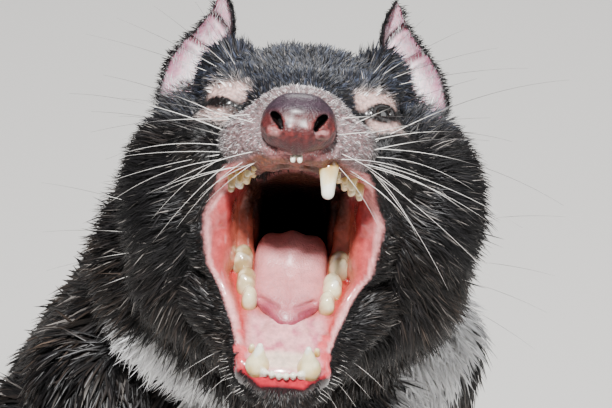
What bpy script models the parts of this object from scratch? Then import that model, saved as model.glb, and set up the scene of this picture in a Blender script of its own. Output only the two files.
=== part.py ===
"""Tasmanian devil, life size, sitting with its head raised and its mouth wide open.

The animal faces -Y, its left side is +X, and the floor is z = 0. Sizes are in metres.
The solids follow the outline of the coat. The head and the lower jaw have frames of their own, which
both turn about the jaw joint: x is to the animal's left, y is backwards and z is up.
"""

import math

import bmesh
import bpy
from mathutils import Euler, Matrix, Vector

LEFT, RIGHT = 1, -1

# The middle of the animal's length, which becomes the origin.
MIDDLE = Vector((0.0001, 0.1088, 0))

# Pose of the head: where the jaw joint is, and how far the head is raised, tilted and turned.
JAW_JOINT = Vector((-0.004, -0.128, 0.350))
HEAD_RAISED = math.radians(33.6)
HEAD_TILTED = math.radians(3.4)
HEAD_TURNED = math.radians(-18)
GAPE = math.radians(56)

# Depth of the coat.
CROWN_COAT = 0.008
BROW_COAT = 0.004
MUZZLE_COAT = 0.001
JAW_COAT = 0.004
BODY_COAT = 0.013
LEG_COAT = 0.006
PAW_COAT = 0.002

# Head, in its frame.
NOSE_REACH = 0.111
NOSE_HEIGHT = 0.010
EYE = Vector((0.0325, -0.0555, 0.0220))
EYE_LOOKS = Vector((0.50, -0.80, 0.20)).normalized()
EYE_RADIUS = 0.0072
EAR = Vector((0.0405, 0.0020, 0.0440))
EAR_RADII = Vector((0.0145, 0.0095, 0.0270))
EAR_TIP = Vector((0.0350, 0.0040, 0.0620))
EAR_LEANS_IN = math.radians(17)
EAR_LOOKS_OUT = math.radians(42)
EAR_WALL = 0.0020
MOUTH_CORNER = Vector((0.0365, -0.0480, -0.0190))
LIP_RADIUS = 0.0036
CANINE_LENGTH = 0.0165
PALATE_HEIGHT = -0.008

# Trunk, from the rump on the floor up to the shoulders.
RUMP = Vector((0, 0.142, 0.085))
LOINS = Vector((0, 0.088, 0.136))
RIBS = Vector((0, 0.022, 0.180))
CHEST = Vector((0.001, -0.030, 0.212))
WITHERS = Vector((0.002, -0.042, 0.252))
NECK = Vector((0.004, -0.076, 0.292))

# Joints of the left legs.
SHOULDER = Vector((0.065, -0.050, 0.224))
ELBOW = Vector((0.072, -0.030, 0.142))
WRIST = Vector((0.065, -0.070, 0.036))
HIP = Vector((0.050, 0.128, 0.098))
KNEE = Vector((0.080, 0.042, 0.086))
HEEL = Vector((0.078, 0.128, 0.018))
FOREFOOT_LENGTH = 0.044
HINDFOOT_LENGTH = 0.080
TOE_RADIUS = 0.0068
CLAW_LENGTH = 0.014

# Tail, which lies on the floor.
TAIL_START = 0.222
TAIL_LENGTH = 0.245
TAIL_ROOT_RADIUS = 0.034
TAIL_TIP_RADIUS = 0.006

# Making. The exact solver leaves open edges where the head is cut, so the manifold one is used.
SOLVER = "MANIFOLD"
GAP = 0.00035
BODY_VOXEL = 0.0045
HEAD_VOXEL = 0.0025
BODY_TRIANGLES = 2400
HEAD_TRIANGLES = 2400

WORLD = Matrix.Translation(-MIDDLE)
HEAD = WORLD @ Matrix.Translation(JAW_JOINT)
HEAD = HEAD @ Euler((-HEAD_RAISED, HEAD_TILTED, HEAD_TURNED)).to_matrix().to_4x4()
JAW = HEAD @ Matrix.Rotation(GAPE, 4, "X")


def mirrored(point, side):
    """The point of the left side, or its mirror image on the right."""
    return Vector((point[0] * side, point[1], point[2]))


def grown(radii, coat):
    """Radii of the flesh with the depth of the coat added."""
    return [radius + coat for radius in radii]


def mesh_from(shape):
    """A mesh that holds the bmesh, which is freed."""
    mesh = bpy.data.meshes.new("form")
    shape.to_mesh(mesh)
    shape.free()
    return mesh


def ball(frame, centre, radii, turn=(0, 0, 0), segments=24):
    """A closed ellipsoid, placed in the frame."""
    shape = bmesh.new()
    bmesh.ops.create_uvsphere(shape, u_segments=segments, v_segments=segments * 2 // 3, radius=1)
    turned = Euler(turn).to_matrix().to_4x4()
    shape.transform(frame @ Matrix.Translation(centre) @ turned @ Matrix.Diagonal((*radii, 1)))
    return mesh_from(shape)


def cone(frame, start, end, start_radius, end_radius, segments=8):
    """A closed cone or cylinder from one point of the frame to another."""
    start, end = Vector(start), Vector(end)
    along = (end - start).to_track_quat("Z", "Y").to_matrix().to_4x4()
    shape = bmesh.new()
    bmesh.ops.create_cone(
        shape,
        cap_ends=True,
        segments=segments,
        radius1=start_radius,
        radius2=end_radius,
        depth=(end - start).length,
    )
    shape.transform(frame @ Matrix.Translation((start + end) / 2) @ along)
    return mesh_from(shape)


def chain(frame, points, radii, segments=16):
    """Balls at the points with cones between them: a limb, or a fold of skin."""
    forms = []
    for point, radius in zip(points, radii):
        forms.append(ball(frame, point, [radius] * 3, segments=segments))
    for start, end, first, last in zip(points, points[1:], radii, radii[1:]):
        forms.append(cone(frame, start, end, first, last, segments))
    return forms


def joined(forms):
    """One mesh that holds all the forms, which are removed."""
    shape = bmesh.new()
    for form in forms:
        shape.from_mesh(form)
        bpy.data.meshes.remove(form)
    return mesh_from(shape)


def evaluated(helper):
    """The mesh of the object with its modifiers applied. The object is removed."""
    graph = bpy.context.evaluated_depsgraph_get()
    mesh = bpy.data.meshes.new_from_object(helper.evaluated_get(graph))
    bpy.data.objects.remove(helper)
    return mesh


def helper_object(mesh):
    """An object that lives only while its modifiers are applied."""
    helper = bpy.data.objects.new("helper", mesh)
    bpy.context.scene.collection.objects.link(helper)
    return helper


def fused(forms, voxel, smoothing, triangles):
    """The forms as one smooth closed skin of about this many triangles."""
    helper = helper_object(joined(forms))
    remesh = helper.modifiers.new("remesh", "REMESH")
    remesh.mode = "VOXEL"
    remesh.voxel_size = voxel
    smooth = helper.modifiers.new("smooth", "SMOOTH")
    smooth.factor = 0.5
    smooth.iterations = smoothing
    helper = helper_object(evaluated(helper))
    thin_out = helper.modifiers.new("thin_out", "DECIMATE")
    thin_out.ratio = min(1, triangles / (2 * len(helper.data.polygons)))
    thin_out.use_collapse_triangulate = True
    return evaluated(helper)


def largest_part(mesh):
    """The mesh without the loose scraps that a cut may leave."""
    shape = bmesh.new()
    shape.from_mesh(mesh)
    unseen = set(shape.faces)
    parts = []
    while unseen:
        edge_of_search = [unseen.pop()]
        part = list(edge_of_search)
        while edge_of_search:
            face = edge_of_search.pop()
            near = {other for edge in face.edges for other in edge.link_faces} & unseen
            unseen -= near
            edge_of_search.extend(near)
            part.extend(near)
        parts.append(part)
    parts.sort(key=len)
    loose = [face for part in parts[:-1] for face in part]
    bmesh.ops.delete(shape, geom=loose, context="FACES")
    bmesh.ops.triangulate(shape, faces=shape.faces)
    return mesh_from(shape)


def combined(mesh, forms, operation):
    """The mesh with the forms cut from it, joined to it, or kept where both are."""
    cutters = bpy.data.collections.new("cutters")
    for form in forms:
        cutters.objects.link(bpy.data.objects.new("cutter", form.copy()))
    helper = helper_object(mesh)
    boolean = helper.modifiers.new("boolean", "BOOLEAN")
    boolean.operation = operation
    boolean.solver = SOLVER
    boolean.operand_type = "COLLECTION"
    boolean.collection = cutters
    result = evaluated(helper)
    for cutter in list(cutters.objects):
        bpy.data.objects.remove(cutter)
    bpy.data.collections.remove(cutters)
    return largest_part(result)


def swollen(mesh, distance=GAP):
    """A copy of the mesh whose faces have all moved outwards by the distance."""
    shape = bmesh.new()
    shape.from_mesh(mesh)
    shape.normal_update()
    moves = [vertex.normal * vertex.calc_shell_factor() * distance for vertex in shape.verts]
    for vertex, move in zip(shape.verts, moves):
        vertex.co += move
    return mesh_from(shape)


def block(frame, low, high):
    """A box between two corners of the frame."""
    low, high = Vector(low), Vector(high)
    shape = bmesh.new()
    bmesh.ops.create_cube(shape, size=1)
    shape.transform(frame @ Matrix.Translation((low + high) / 2) @ Matrix.Diagonal((*(high - low), 1)))
    return mesh_from(shape)


def hull(points_and_radii):
    """The convex shape that wraps balls, given as (frame, centre, radius)."""
    shape = bmesh.new()
    for frame, centre, radius in points_and_radii:
        place = frame @ Matrix.Translation(centre)
        bmesh.ops.create_icosphere(shape, subdivisions=1, radius=radius, matrix=place)
    bmesh.ops.delete(shape, geom=shape.edges, context="EDGES_FACES")
    bmesh.ops.convex_hull(shape, input=shape.verts)
    bmesh.ops.delete(shape, geom=[vertex for vertex in shape.verts if not vertex.link_faces], context="VERTS")
    bmesh.ops.recalc_face_normals(shape, faces=shape.faces)
    return mesh_from(shape)


def material(name, colour, roughness):
    """A plain Principled material."""
    made = bpy.data.materials.new(name)
    made.use_nodes = True
    principled = made.node_tree.nodes["Principled BSDF"]
    principled.inputs["Base Color"].default_value = (*colour, 1)
    principled.inputs["Roughness"].default_value = roughness
    principled.inputs["Metallic"].default_value = 0
    return made


def node(name, mesh, finish, collection):
    """A named object of the model."""
    mesh.name = name
    mesh.materials.clear()
    mesh.materials.append(finish)
    made = bpy.data.objects.new(name, mesh)
    collection.objects.link(made)
    return made


def upper_lip(side):
    """Points of the upper lip's edge, from the middle back to the corner of the mouth, in the head's frame."""
    return [
        mirrored(point, side)
        for point in (
            (0, -0.1070, -0.0010),
            (0.0095, -0.1040, -0.0020),
            (0.0150, -0.0930, -0.0015),
            (0.0195, -0.0800, -0.0010),
            (0.0245, -0.0680, -0.0015),
            (0.0300, -0.0580, -0.0040),
            (0.0340, -0.0515, -0.0095),
            MOUTH_CORNER,
        )
    ]


def lower_lip(side):
    """Points of the lower lip's edge, from the corner of the mouth to the chin, in the jaw's frame."""
    return [
        mirrored(point, side)
        for point in (
            (0.0355, -0.0470, 0.0230),
            (0.0330, -0.0500, 0.0130),
            (0.0280, -0.0570, 0.0060),
            (0.0245, -0.0680, 0.0020),
            (0.0200, -0.0830, 0.0010),
            (0.0150, -0.0950, -0.0025),
            (0.0085, -0.1020, -0.0035),
            (0, -0.1045, -0.0040),
        )
    ]


def skull_forms():
    """Cranium, temples, cheeks, brows and muzzle."""
    forms = [
        ball(HEAD, (0, -0.010, 0.020), grown((0.040, 0.052, 0.029), CROWN_COAT)),
        ball(HEAD, (0, 0.026, 0.014), grown((0.043, 0.034, 0.034), CROWN_COAT)),
        ball(HEAD, (0, -0.046, 0.021), grown((0.027, 0.030, 0.018), BROW_COAT)),
        ball(HEAD, (0, -0.078, 0.014), grown((0.019, 0.034, 0.012), MUZZLE_COAT)),
        ball(HEAD, (0, -0.096, 0.007), grown((0.018, 0.013, 0.011), MUZZLE_COAT)),
    ]
    for side in (LEFT, RIGHT):
        forms += [
            ball(HEAD, (0.041 * side, -0.010, -0.011), grown((0.025, 0.040, 0.035), CROWN_COAT)),
            ball(HEAD, (0.050 * side, 0.006, -0.030), grown((0.016, 0.030, 0.026), CROWN_COAT)),
            ball(HEAD, (0.029 * side, 0.000, 0.040), grown((0.010, 0.018, 0.014), CROWN_COAT)),
            ball(HEAD, (0.026 * side, -0.042, 0.033), grown((0.012, 0.016, 0.006), BROW_COAT)),
            ball(HEAD, (0.0285 * side, -0.0495, 0.020), grown((0.0120, 0.0135, 0.0130), MUZZLE_COAT)),
            ball(HEAD, (0.034 * side, -0.042, 0.004), grown((0.013, 0.024, 0.016), MUZZLE_COAT)),
            ball(HEAD, (0.017 * side, -0.082, 0.004), grown((0.012, 0.022, 0.011), MUZZLE_COAT)),
        ]
        forms += chain(HEAD, upper_lip(side), [LIP_RADIUS] * 8, segments=12)
    return forms


def mandible_forms():
    """The lower jaw with its lips and the floor of the mouth."""
    forms = [
        ball(JAW, (0, -0.093, -0.009), grown((0.012, 0.010, 0.007), JAW_COAT)),
        ball(JAW, (0, -0.060, -0.015), grown((0.022, 0.036, 0.011), JAW_COAT)),
    ]
    for side in (LEFT, RIGHT):
        arm = [(0.011 * side, -0.093, -0.007), (0.026 * side, -0.056, -0.008), (0.036 * side, -0.012, -0.010)]
        forms += chain(JAW, arm, grown((0.006, 0.010, 0.020), JAW_COAT))
        forms += chain(JAW, lower_lip(side), [LIP_RADIUS] * 8, segments=12)
    return forms


def neck_forms():
    """The thick neck between the shoulders and the back of the head."""
    return [
        ball(WORLD, NECK, grown((0.075, 0.056, 0.058), BODY_COAT)),
        ball(HEAD, (0, 0.042, 0.000), grown((0.046, 0.036, 0.038), BODY_COAT)),
        ball(HEAD, (0, 0.030, -0.026), grown((0.054, 0.036, 0.050), BODY_COAT)),
        ball(HEAD, (0, 0.004, -0.046), grown((0.050, 0.034, 0.026), BODY_COAT)),
    ]


def trunk_forms():
    """Rump, loins, ribs, chest and withers."""
    spine = [RUMP, LOINS, RIBS, CHEST]
    forms = chain(WORLD, spine, grown((0.076, 0.070, 0.074, 0.078), BODY_COAT), segments=32)
    forms += [
        ball(WORLD, WITHERS, grown((0.074, 0.054, 0.052), BODY_COAT)),
        ball(WORLD, (0, -0.078, 0.208), grown((0.052, 0.034, 0.056), BODY_COAT)),
    ]
    return forms


def foreleg_forms(side, more=0.0):
    """One straight foreleg from the shoulder down to the paw. more widens it."""
    joints = [mirrored(joint, side) for joint in (SHOULDER, ELBOW, WRIST)]
    forms = chain(WORLD, joints, grown((0.034, 0.021, 0.012), LEG_COAT + more))
    paw = joints[-1] + Vector((0, -FOREFOOT_LENGTH * 0.45, -joints[-1].z + 0.011))
    forms += chain(WORLD, [joints[-1], paw], grown((0.011, 0.012), PAW_COAT + more))
    forms.append(ball(WORLD, paw, grown((0.017, 0.019, 0.010), PAW_COAT + more)))
    return forms


def hindleg_forms(side, more=0.0):
    """One folded hind leg: the haunch, the shank and the long foot that is flat on the floor."""
    hip, knee, heel = (mirrored(joint, side) for joint in (HIP, KNEE, HEEL))
    ball_of_foot = heel + Vector((0.004 * side, -HINDFOOT_LENGTH * 0.8, -0.006))
    haunch = (hip + knee) / 2 + Vector((0.008 * side, 0, 0))
    forms = [
        ball(WORLD, haunch, grown((0.028, 0.062, 0.052), LEG_COAT + more), (math.radians(8), 0, 0)),
    ]
    forms += chain(WORLD, [knee, heel], grown((0.026, 0.016), LEG_COAT + more))
    forms += chain(WORLD, [heel, ball_of_foot], grown((0.012, 0.010), PAW_COAT + more))
    forms.append(ball(WORLD, ball_of_foot, grown((0.016, 0.018, 0.009), PAW_COAT + more)))
    return forms


def tail_forms():
    """The fat tail, tapering along the floor behind the rump."""
    points, radii = [], []
    for step in range(9):
        share = step / 8
        radius = TAIL_TIP_RADIUS + (TAIL_ROOT_RADIUS - TAIL_TIP_RADIUS) * (1 - share**1.5)
        bend = 0.045 * share**2
        lift = 0.022 * (1 - share) ** 3
        points.append(Vector((bend, TAIL_START - 0.03 + TAIL_LENGTH * share, radius + lift)))
        radii.append(radius)
    return chain(WORLD, points, radii)


def mouth_space():
    """The room between the palate, the cheeks and the floor of the mouth, back to the throat."""
    corners = []
    for side in (LEFT, RIGHT):
        corners += [
            (HEAD, (0.013 * side, -0.102, PALATE_HEIGHT - 0.003), 0.003),
            (HEAD, (0.025 * side, -0.070, PALATE_HEIGHT - 0.004), 0.004),
            (HEAD, (0.029 * side, -0.051, -0.022), 0.003),
            (HEAD, (0.011 * side, -0.018, PALATE_HEIGHT - 0.006), 0.006),
            (HEAD, (0.011 * side, -0.014, -0.032), 0.006),
            (JAW, (0.008 * side, -0.099, 0.004), 0.002),
            (JAW, (0.018 * side, -0.070, 0.006), 0.003),
            (JAW, (0.026 * side, -0.054, 0.015), 0.003),
        ]
    return hull(corners)


def jaw_cell():
    """The space of the lower jaw, which parts it from the head behind the corners of the mouth."""
    corners = []
    for side in (LEFT, RIGHT):
        for height in (-0.034, 0.0200):
            corners.append((JAW, (0.036 * side, -0.0470, height), 0.004))
            corners.append((JAW, (0.022 * side, -0.1200, height), 0.004))
    return hull(corners)


def tongue_mesh():
    """The tongue, drawn back on the floor of the mouth."""
    forms = [
        ball(JAW, (0, -0.050, 0.002), (0.013, 0.024, 0.009)),
        ball(JAW, (0, -0.030, 0.004), (0.013, 0.020, 0.011)),
    ]
    return fused(forms, 0.002, 4, 260)


def upper_teeth():
    """The one upper canine that is left, two small incisors and the rows of cheek teeth."""
    crown = Vector((0.0008, -0.0020, -CANINE_LENGTH))
    root = Vector((0.0122, -0.0970, -0.0030))
    forms = [cone(HEAD, root, root + crown, 0.0037, 0.0023)]
    for side in (LEFT, RIGHT):
        forms.append(cone(HEAD, (0.0014 * side, -0.1045, -0.003), (0.0013 * side, -0.105, -0.0095), 0.0013, 0.0010, 6))
        for number in range(5):
            share = number / 4
            at = Vector(((0.0150 + 0.0095 * share) * side, -0.0830 + 0.0330 * share, PALATE_HEIGHT + 0.004))
            drop = 0.0070 + 0.0025 * share
            forms.append(cone(HEAD, at, at + Vector((0, 0, -drop)), 0.0042, 0.0018, 6))
    return forms


def lower_teeth():
    """Two worn canines, six incisors and the rows of cheek teeth."""
    forms = []
    for side in (LEFT, RIGHT):
        forms.append(cone(JAW, (0.0096 * side, -0.0960, -0.004), (0.0094 * side, -0.0935, 0.0105), 0.0050, 0.0022))
        for number in range(3):
            at = Vector(((0.0012 + 0.0024 * number) * side, -0.1015 + 0.0006 * number, -0.003))
            forms.append(cone(JAW, at, at + Vector((0, -0.001, 0.0085)), 0.0014, 0.0011, 6))
        for number in range(4):
            share = number / 3
            at = Vector(((0.0140 + 0.0060 * share) * side, -0.0720 + 0.0330 * share, -0.003))
            forms.append(cone(JAW, at, at + Vector((0, 0, 0.0095 + 0.0015 * share)), 0.0042, 0.0020, 6))
    return forms


def nose_mesh():
    """The bare nose pad with its two nostrils."""
    forms = [
        ball(HEAD, (0, -NOSE_REACH, NOSE_HEIGHT + 0.001), (0.0120, 0.0085, 0.0100)),
        ball(HEAD, (0, -NOSE_REACH, NOSE_HEIGHT - 0.006), (0.0085, 0.0080, 0.0050)),
    ]
    nostrils = []
    for side in (LEFT, RIGHT):
        forms.append(ball(HEAD, (0.0078 * side, -NOSE_REACH + 0.002, NOSE_HEIGHT - 0.003), (0.0062, 0.0085, 0.0068)))
        outside = (0.0100 * side, -NOSE_REACH - 0.0110, NOSE_HEIGHT - 0.001)
        inside = (0.0060 * side, -NOSE_REACH + 0.0010, NOSE_HEIGHT)
        nostrils.append(cone(HEAD, outside, inside, 0.0028, 0.0016, 8))
    whole = fused(forms, 0.0012, 3, 420)
    return whole, combined(whole.copy(), nostrils, "DIFFERENCE")


def ear_mesh(side):
    """The cup of one ear, with its root sunk in the head. Its hollow faces forwards and outwards."""
    turn = (math.radians(-12), -EAR_LEANS_IN * side, EAR_LOOKS_OUT * side)
    centre, tip = mirrored(EAR, side), mirrored(EAR_TIP, side)
    forms = [
        ball(HEAD, centre, EAR_RADII, turn),
        ball(HEAD, tip, (0.007, 0.005, 0.014), turn),
        ball(HEAD, centre + Vector((0.003 * side, 0.002, -0.014)), (0.016, 0.012, 0.014), turn),
    ]
    whole = fused(forms, 0.0018, 3, 260)
    forwards = Euler(turn).to_matrix() @ Vector((0, -0.0080, 0.002))
    hollow = ball(HEAD, centre + forwards, [radius - EAR_WALL for radius in EAR_RADII], turn, segments=12)
    tip_hollow = ball(HEAD, tip + forwards * 0.6, (0.0048, 0.0045, 0.0115), turn, segments=8)
    return whole, combined(whole.copy(), [hollow, tip_hollow], "DIFFERENCE")


def socket_mesh(side):
    """The hollow in front of the eye, between the lids."""
    return ball(HEAD, mirrored(EYE + EYE_LOOKS * 0.0090, side), (0.0070, 0.0060, 0.0052), segments=12)


def lid_forms(side):
    """The rims of the eyelids, a ring round the eye."""
    eye = mirrored(EYE, side)
    looking = mirrored(EYE_LOOKS, side)
    across = looking.cross(Vector((0, 0, 1))).normalized()
    up = across.cross(looking)
    points = []
    steps = 14
    for step in range(steps + 1):
        angle = 2 * math.pi * step / steps
        ring = across * math.cos(angle) * 0.0066 + up * math.sin(angle) * 0.0042
        points.append(eye + looking * 0.0050 + ring)
    return chain(HEAD, points, [0.0015] * (steps + 1), segments=8)


def toes(paw, side, count, spread, reach):
    """Toes in a fan, each with its claw, in front of the paw."""
    forms = []
    for number in range(count):
        share = number / (count - 1) - 0.5
        sideways = share * spread * side
        forward = reach * (1 - 0.9 * share**2)
        knuckle = paw + Vector((sideways, -forward, 0.001))
        forms.append(ball(WORLD, knuckle, (TOE_RADIUS, TOE_RADIUS * 1.7, TOE_RADIUS * 1.15), segments=6))
        tip = knuckle + Vector((sideways * 0.15, -TOE_RADIUS * 1.2 - CLAW_LENGTH * 0.8, -0.005))
        forms.append(cone(WORLD, knuckle + Vector((0, -0.006, 0.002)), tip, 0.0028, 0.0006, 5))
    return forms


def paw_centre(side, fore):
    """Where the toes of a foot fan out from."""
    if fore:
        wrist = mirrored(WRIST, side)
        return Vector((wrist.x, wrist.y - FOREFOOT_LENGTH * 0.45, 0.0085))
    heel = mirrored(HEEL, side)
    return Vector((heel.x + 0.004 * side, heel.y - HINDFOOT_LENGTH * 0.8, 0.0085))


def clear_scene():
    """Removes what the scene starts with."""
    for item in list(bpy.data.objects):
        bpy.data.objects.remove(item)


def main():
    """Builds the whole skin, parts it into named nodes and adds what grows from each."""
    clear_scene()
    devil = bpy.data.collections.new("tasmanian_devil")
    bpy.context.scene.collection.children.link(devil)

    black_coat = material("black_coat", (0.030, 0.026, 0.025), 0.70)
    face_coat = material("face_coat", (0.060, 0.048, 0.044), 0.65)
    bare_skin = material("bare_skin", (0.62, 0.36, 0.36), 0.50)
    nose_leather = material("nose_leather", (0.20, 0.10, 0.10), 0.35)
    wet_eye = material("wet_eye", (0.015, 0.010, 0.008), 0.10)
    wet_tongue = material("wet_tongue", (0.75, 0.40, 0.42), 0.30)

    floor = block(WORLD, (-1, -1, -0.5), (1, 1, 0))
    face_space = block(HEAD @ Matrix.Rotation(math.radians(-16), 4, "X"), (-0.2, -0.3, -0.3), (0.2, 0.010, 0.3))
    neck_plane = WORLD @ Matrix.Translation((0, -0.060, 0.262)) @ Matrix.Rotation(math.radians(38), 4, "X")
    neck_space = block(neck_plane, (-0.2, -0.2, 0), (0.2, 0.2, 0.3))
    tail_space = block(WORLD, (-0.1, TAIL_START, -0.1), (0.2, 0.6, 0.3))
    jaw_space = jaw_cell()

    forms = skull_forms() + neck_forms() + trunk_forms() + tail_forms()
    for side in (LEFT, RIGHT):
        forms += foreleg_forms(side) + hindleg_forms(side)
    body = fused(forms, BODY_VOXEL, 8, BODY_TRIANGLES)
    body = combined(body, [floor], "DIFFERENCE")
    body = combined(body, [swollen(face_space)], "DIFFERENCE")

    node("neck", combined(body.copy(), [neck_space], "INTERSECT"), black_coat, devil)
    body = combined(body, [swollen(neck_space)], "DIFFERENCE")
    node("tail", combined(body.copy(), [tail_space], "INTERSECT"), black_coat, devil)
    body = combined(body, [swollen(tail_space)], "DIFFERENCE")

    for side, name in ((LEFT, "left"), (RIGHT, "right")):
        for fore, leg_forms, count, spread, reach in (
            (True, foreleg_forms, 5, 0.034, 0.018),
            (False, hindleg_forms, 4, 0.028, 0.016),
        ):
            leg_space = fused(leg_forms(side, 0.004), BODY_VOXEL, 3, 240)
            leg = combined(body.copy(), [leg_space], "INTERSECT")
            body = combined(body, [swollen(leg_space)], "DIFFERENCE")
            leg = combined(leg, toes(paw_centre(side, fore), side, count, spread, reach), "UNION")
            leg = combined(leg, [floor], "DIFFERENCE")
            node(("foreleg_" if fore else "hindleg_") + name, leg, black_coat, devil)
    node("torso", body, black_coat, devil)

    head = fused(skull_forms() + mandible_forms() + neck_forms(), HEAD_VOXEL, 8, HEAD_TRIANGLES)
    head = combined(head, [face_space], "INTERSECT")
    head = combined(head, [mouth_space()], "DIFFERENCE")
    tongue = tongue_mesh()
    head = combined(head, [swollen(tongue)], "DIFFERENCE")
    jaw = combined(head.copy(), [jaw_space], "INTERSECT")
    jaw = combined(jaw, lower_teeth(), "UNION")
    head = combined(head, [swollen(jaw_space)], "DIFFERENCE")
    head = combined(head, upper_teeth(), "UNION")
    nose_whole, nose = nose_mesh()
    head = combined(head, [swollen(nose_whole)], "DIFFERENCE")
    for side, name in ((LEFT, "left"), (RIGHT, "right")):
        head = combined(head, [socket_mesh(side)], "DIFFERENCE")
        head = combined(head, [fused(lid_forms(side), 0.0010, 2, 180)], "UNION")
        eyeball = ball(HEAD, mirrored(EYE, side), [EYE_RADIUS] * 3, segments=12)
        head = combined(head, [swollen(eyeball)], "DIFFERENCE")
        node("eye_" + name, eyeball, wet_eye, devil)
        ear_whole, ear = ear_mesh(side)
        head = combined(head, [swollen(ear_whole)], "DIFFERENCE")
        node("ear_" + name, ear, bare_skin, devil)
    node("tongue", tongue, wet_tongue, devil)
    node("lower_jaw", jaw, face_coat, devil)
    node("nose", nose, nose_leather, devil)
    node("head", head, face_coat, devil)

    for made in devil.objects:
        made.data.shade_smooth()
        made.data.set_sharp_from_angle(angle=math.radians(40))


main()
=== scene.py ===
"""Looks of a life-size tasmanian devil that sits with its head raised and its mouth wide open.

The flesh is a set of rounded lumps that melt into one another, and each lump also says how the hair on it
lies. One skin is drawn round them all, and solid tufts of hair are planted on it. Lengths are in metres.
The head and the lower jaw have frames of their own, which both turn about the jaw joint: x is to the
animal's left, y is backwards and z is up.
"""

import logging
import math
from dataclasses import dataclass, field
from enum import Enum
from typing import Protocol, Sequence

import bmesh
import bpy
import numpy as np
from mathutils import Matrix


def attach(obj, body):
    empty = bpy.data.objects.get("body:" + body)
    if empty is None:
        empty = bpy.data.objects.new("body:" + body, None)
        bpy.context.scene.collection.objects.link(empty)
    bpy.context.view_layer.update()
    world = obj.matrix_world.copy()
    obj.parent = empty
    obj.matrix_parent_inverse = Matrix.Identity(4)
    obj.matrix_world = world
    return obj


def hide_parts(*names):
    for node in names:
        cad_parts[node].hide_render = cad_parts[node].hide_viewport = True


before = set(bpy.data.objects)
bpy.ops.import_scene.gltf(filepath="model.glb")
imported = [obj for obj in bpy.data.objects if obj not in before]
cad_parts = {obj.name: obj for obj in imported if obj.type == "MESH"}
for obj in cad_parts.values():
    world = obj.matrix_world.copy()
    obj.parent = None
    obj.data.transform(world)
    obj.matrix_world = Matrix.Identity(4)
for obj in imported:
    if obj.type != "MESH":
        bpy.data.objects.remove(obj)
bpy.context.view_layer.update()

import openvdb
from mathutils import Euler, Matrix, Vector

LOG = logging.getLogger("tasmanian_devil")

Array = np.ndarray
Triple = tuple[float, float, float]

MILLIMETRE = 0.001
FAR = 1.0
LEFT, RIGHT = 1, -1
SIDES = ((LEFT, "left"), (RIGHT, "right"))

MIDDLE = Vector((0.0001, 0.1088, 0.0))
JAW_JOINT = Vector((-0.004, -0.128, 0.35))
HEAD_RAISED = math.radians(33.6)
HEAD_TILTED = math.radians(3.4)
HEAD_TURNED = math.radians(-18)
GAPE = math.radians(56)

WORLD = Matrix.Translation(-MIDDLE)
HEAD = (
    WORLD
    @ Matrix.Translation(JAW_JOINT)
    @ Euler((-HEAD_RAISED, HEAD_TILTED, HEAD_TURNED)).to_matrix().to_4x4()
)
JAW = HEAD @ Matrix.Rotation(GAPE, 4, "X")


class Part(Enum):
    """The parts of the coat, each of which is planted as pieces of its own."""

    HEAD = "head"
    NECK = "neck"
    TORSO = "torso"
    FORELEG_LEFT = "foreleg_left"
    FORELEG_RIGHT = "foreleg_right"
    HINDLEG_LEFT = "hindleg_left"
    HINDLEG_RIGHT = "hindleg_right"
    TAIL = "tail"


def side_point(point: Sequence[float], side: int) -> Triple:
    """Mirrors a point of the left side.

    Args:
        point: A point of the animal's left side.
        side: LEFT or RIGHT.

    Returns:
        The point, or its mirror image.
    """
    return (point[0] * side, point[1], point[2])


def mirrored(points: Sequence[Triple], side: int) -> list[Triple]:
    """The points of the left side, or their mirror images for the right side."""
    return [side_point(point, side) for point in points]


def into(place: Matrix, points: Array) -> Array:
    """Gives points of the row frame in a frame of their own.

    Args:
        place: The frame, as a matrix that leads from it to the row frame.
        points: The points, one to a row.

    Returns:
        The points' coordinates in that frame.
    """
    back = np.array(place.inverted(), dtype=np.float32)
    return points @ back[:3, :3].T + back[:3, 3]


def out_of(place: Matrix, points: Array) -> Array:
    """Gives points of a frame in the row frame.

    Args:
        place: The frame, as a matrix that leads from it to the row frame.
        points: The points' coordinates in that frame.

    Returns:
        The points in the row frame.
    """
    there = np.array(place, dtype=np.float32)
    return points @ there[:3, :3].T + there[:3, 3]


def ramp(values: Array, start: float, end: float) -> Array:
    """Rises smoothly from 0 to 1.

    Args:
        values: The values to judge.
        start: The value that gives 0.
        end: The value that gives 1, which may be the lower one.

    Returns:
        A share from 0 to 1 for each value.
    """
    share = np.clip((values - start) / (end - start), 0.0, 1.0)
    return share * share * (3.0 - 2.0 * share)


def ripple(points: Array, wavelength: float, seed: int, waves: int = 7) -> Array:
    """A smooth, irregular pattern made from plane waves.

    Args:
        points: Where to read it.
        wavelength: The typical distance from crest to crest.
        seed: Picks the pattern.
        waves: How many waves are added.

    Returns:
        A value from about -1 to 1 for each point.
    """
    draw = np.random.default_rng(seed)
    total = np.zeros(len(points), dtype=np.float32)
    for _ in range(waves):
        heading = draw.normal(size=3)
        heading *= 2.0 * math.pi / wavelength / np.linalg.norm(heading) * draw.uniform(0.6, 1.5)
        total += np.sin(points @ heading.astype(np.float32) + draw.uniform(0, 2 * math.pi))
    return total * (1.6 / waves)


def unit(vectors: Array) -> Array:
    """The vectors, one to a row, with a length of 1."""
    return vectors / np.maximum(np.linalg.norm(vectors, axis=1, keepdims=True), 1e-9)


def plain(colour: Sequence[float], points: Array) -> Array:
    """The same colour for each of the points."""
    return np.tile(np.array(colour, dtype=np.float32), (len(points), 1))


def mixed(base: Array, over: Sequence[float], share: Array) -> Array:
    """Lays a colour over others.

    Args:
        base: The colours underneath, one to a row.
        over: The colour on top.
        share: How much of it shows at each row.

    Returns:
        The mixed colours.
    """
    return base + (np.array(over, dtype=np.float32) - base) * share[:, None]


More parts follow.
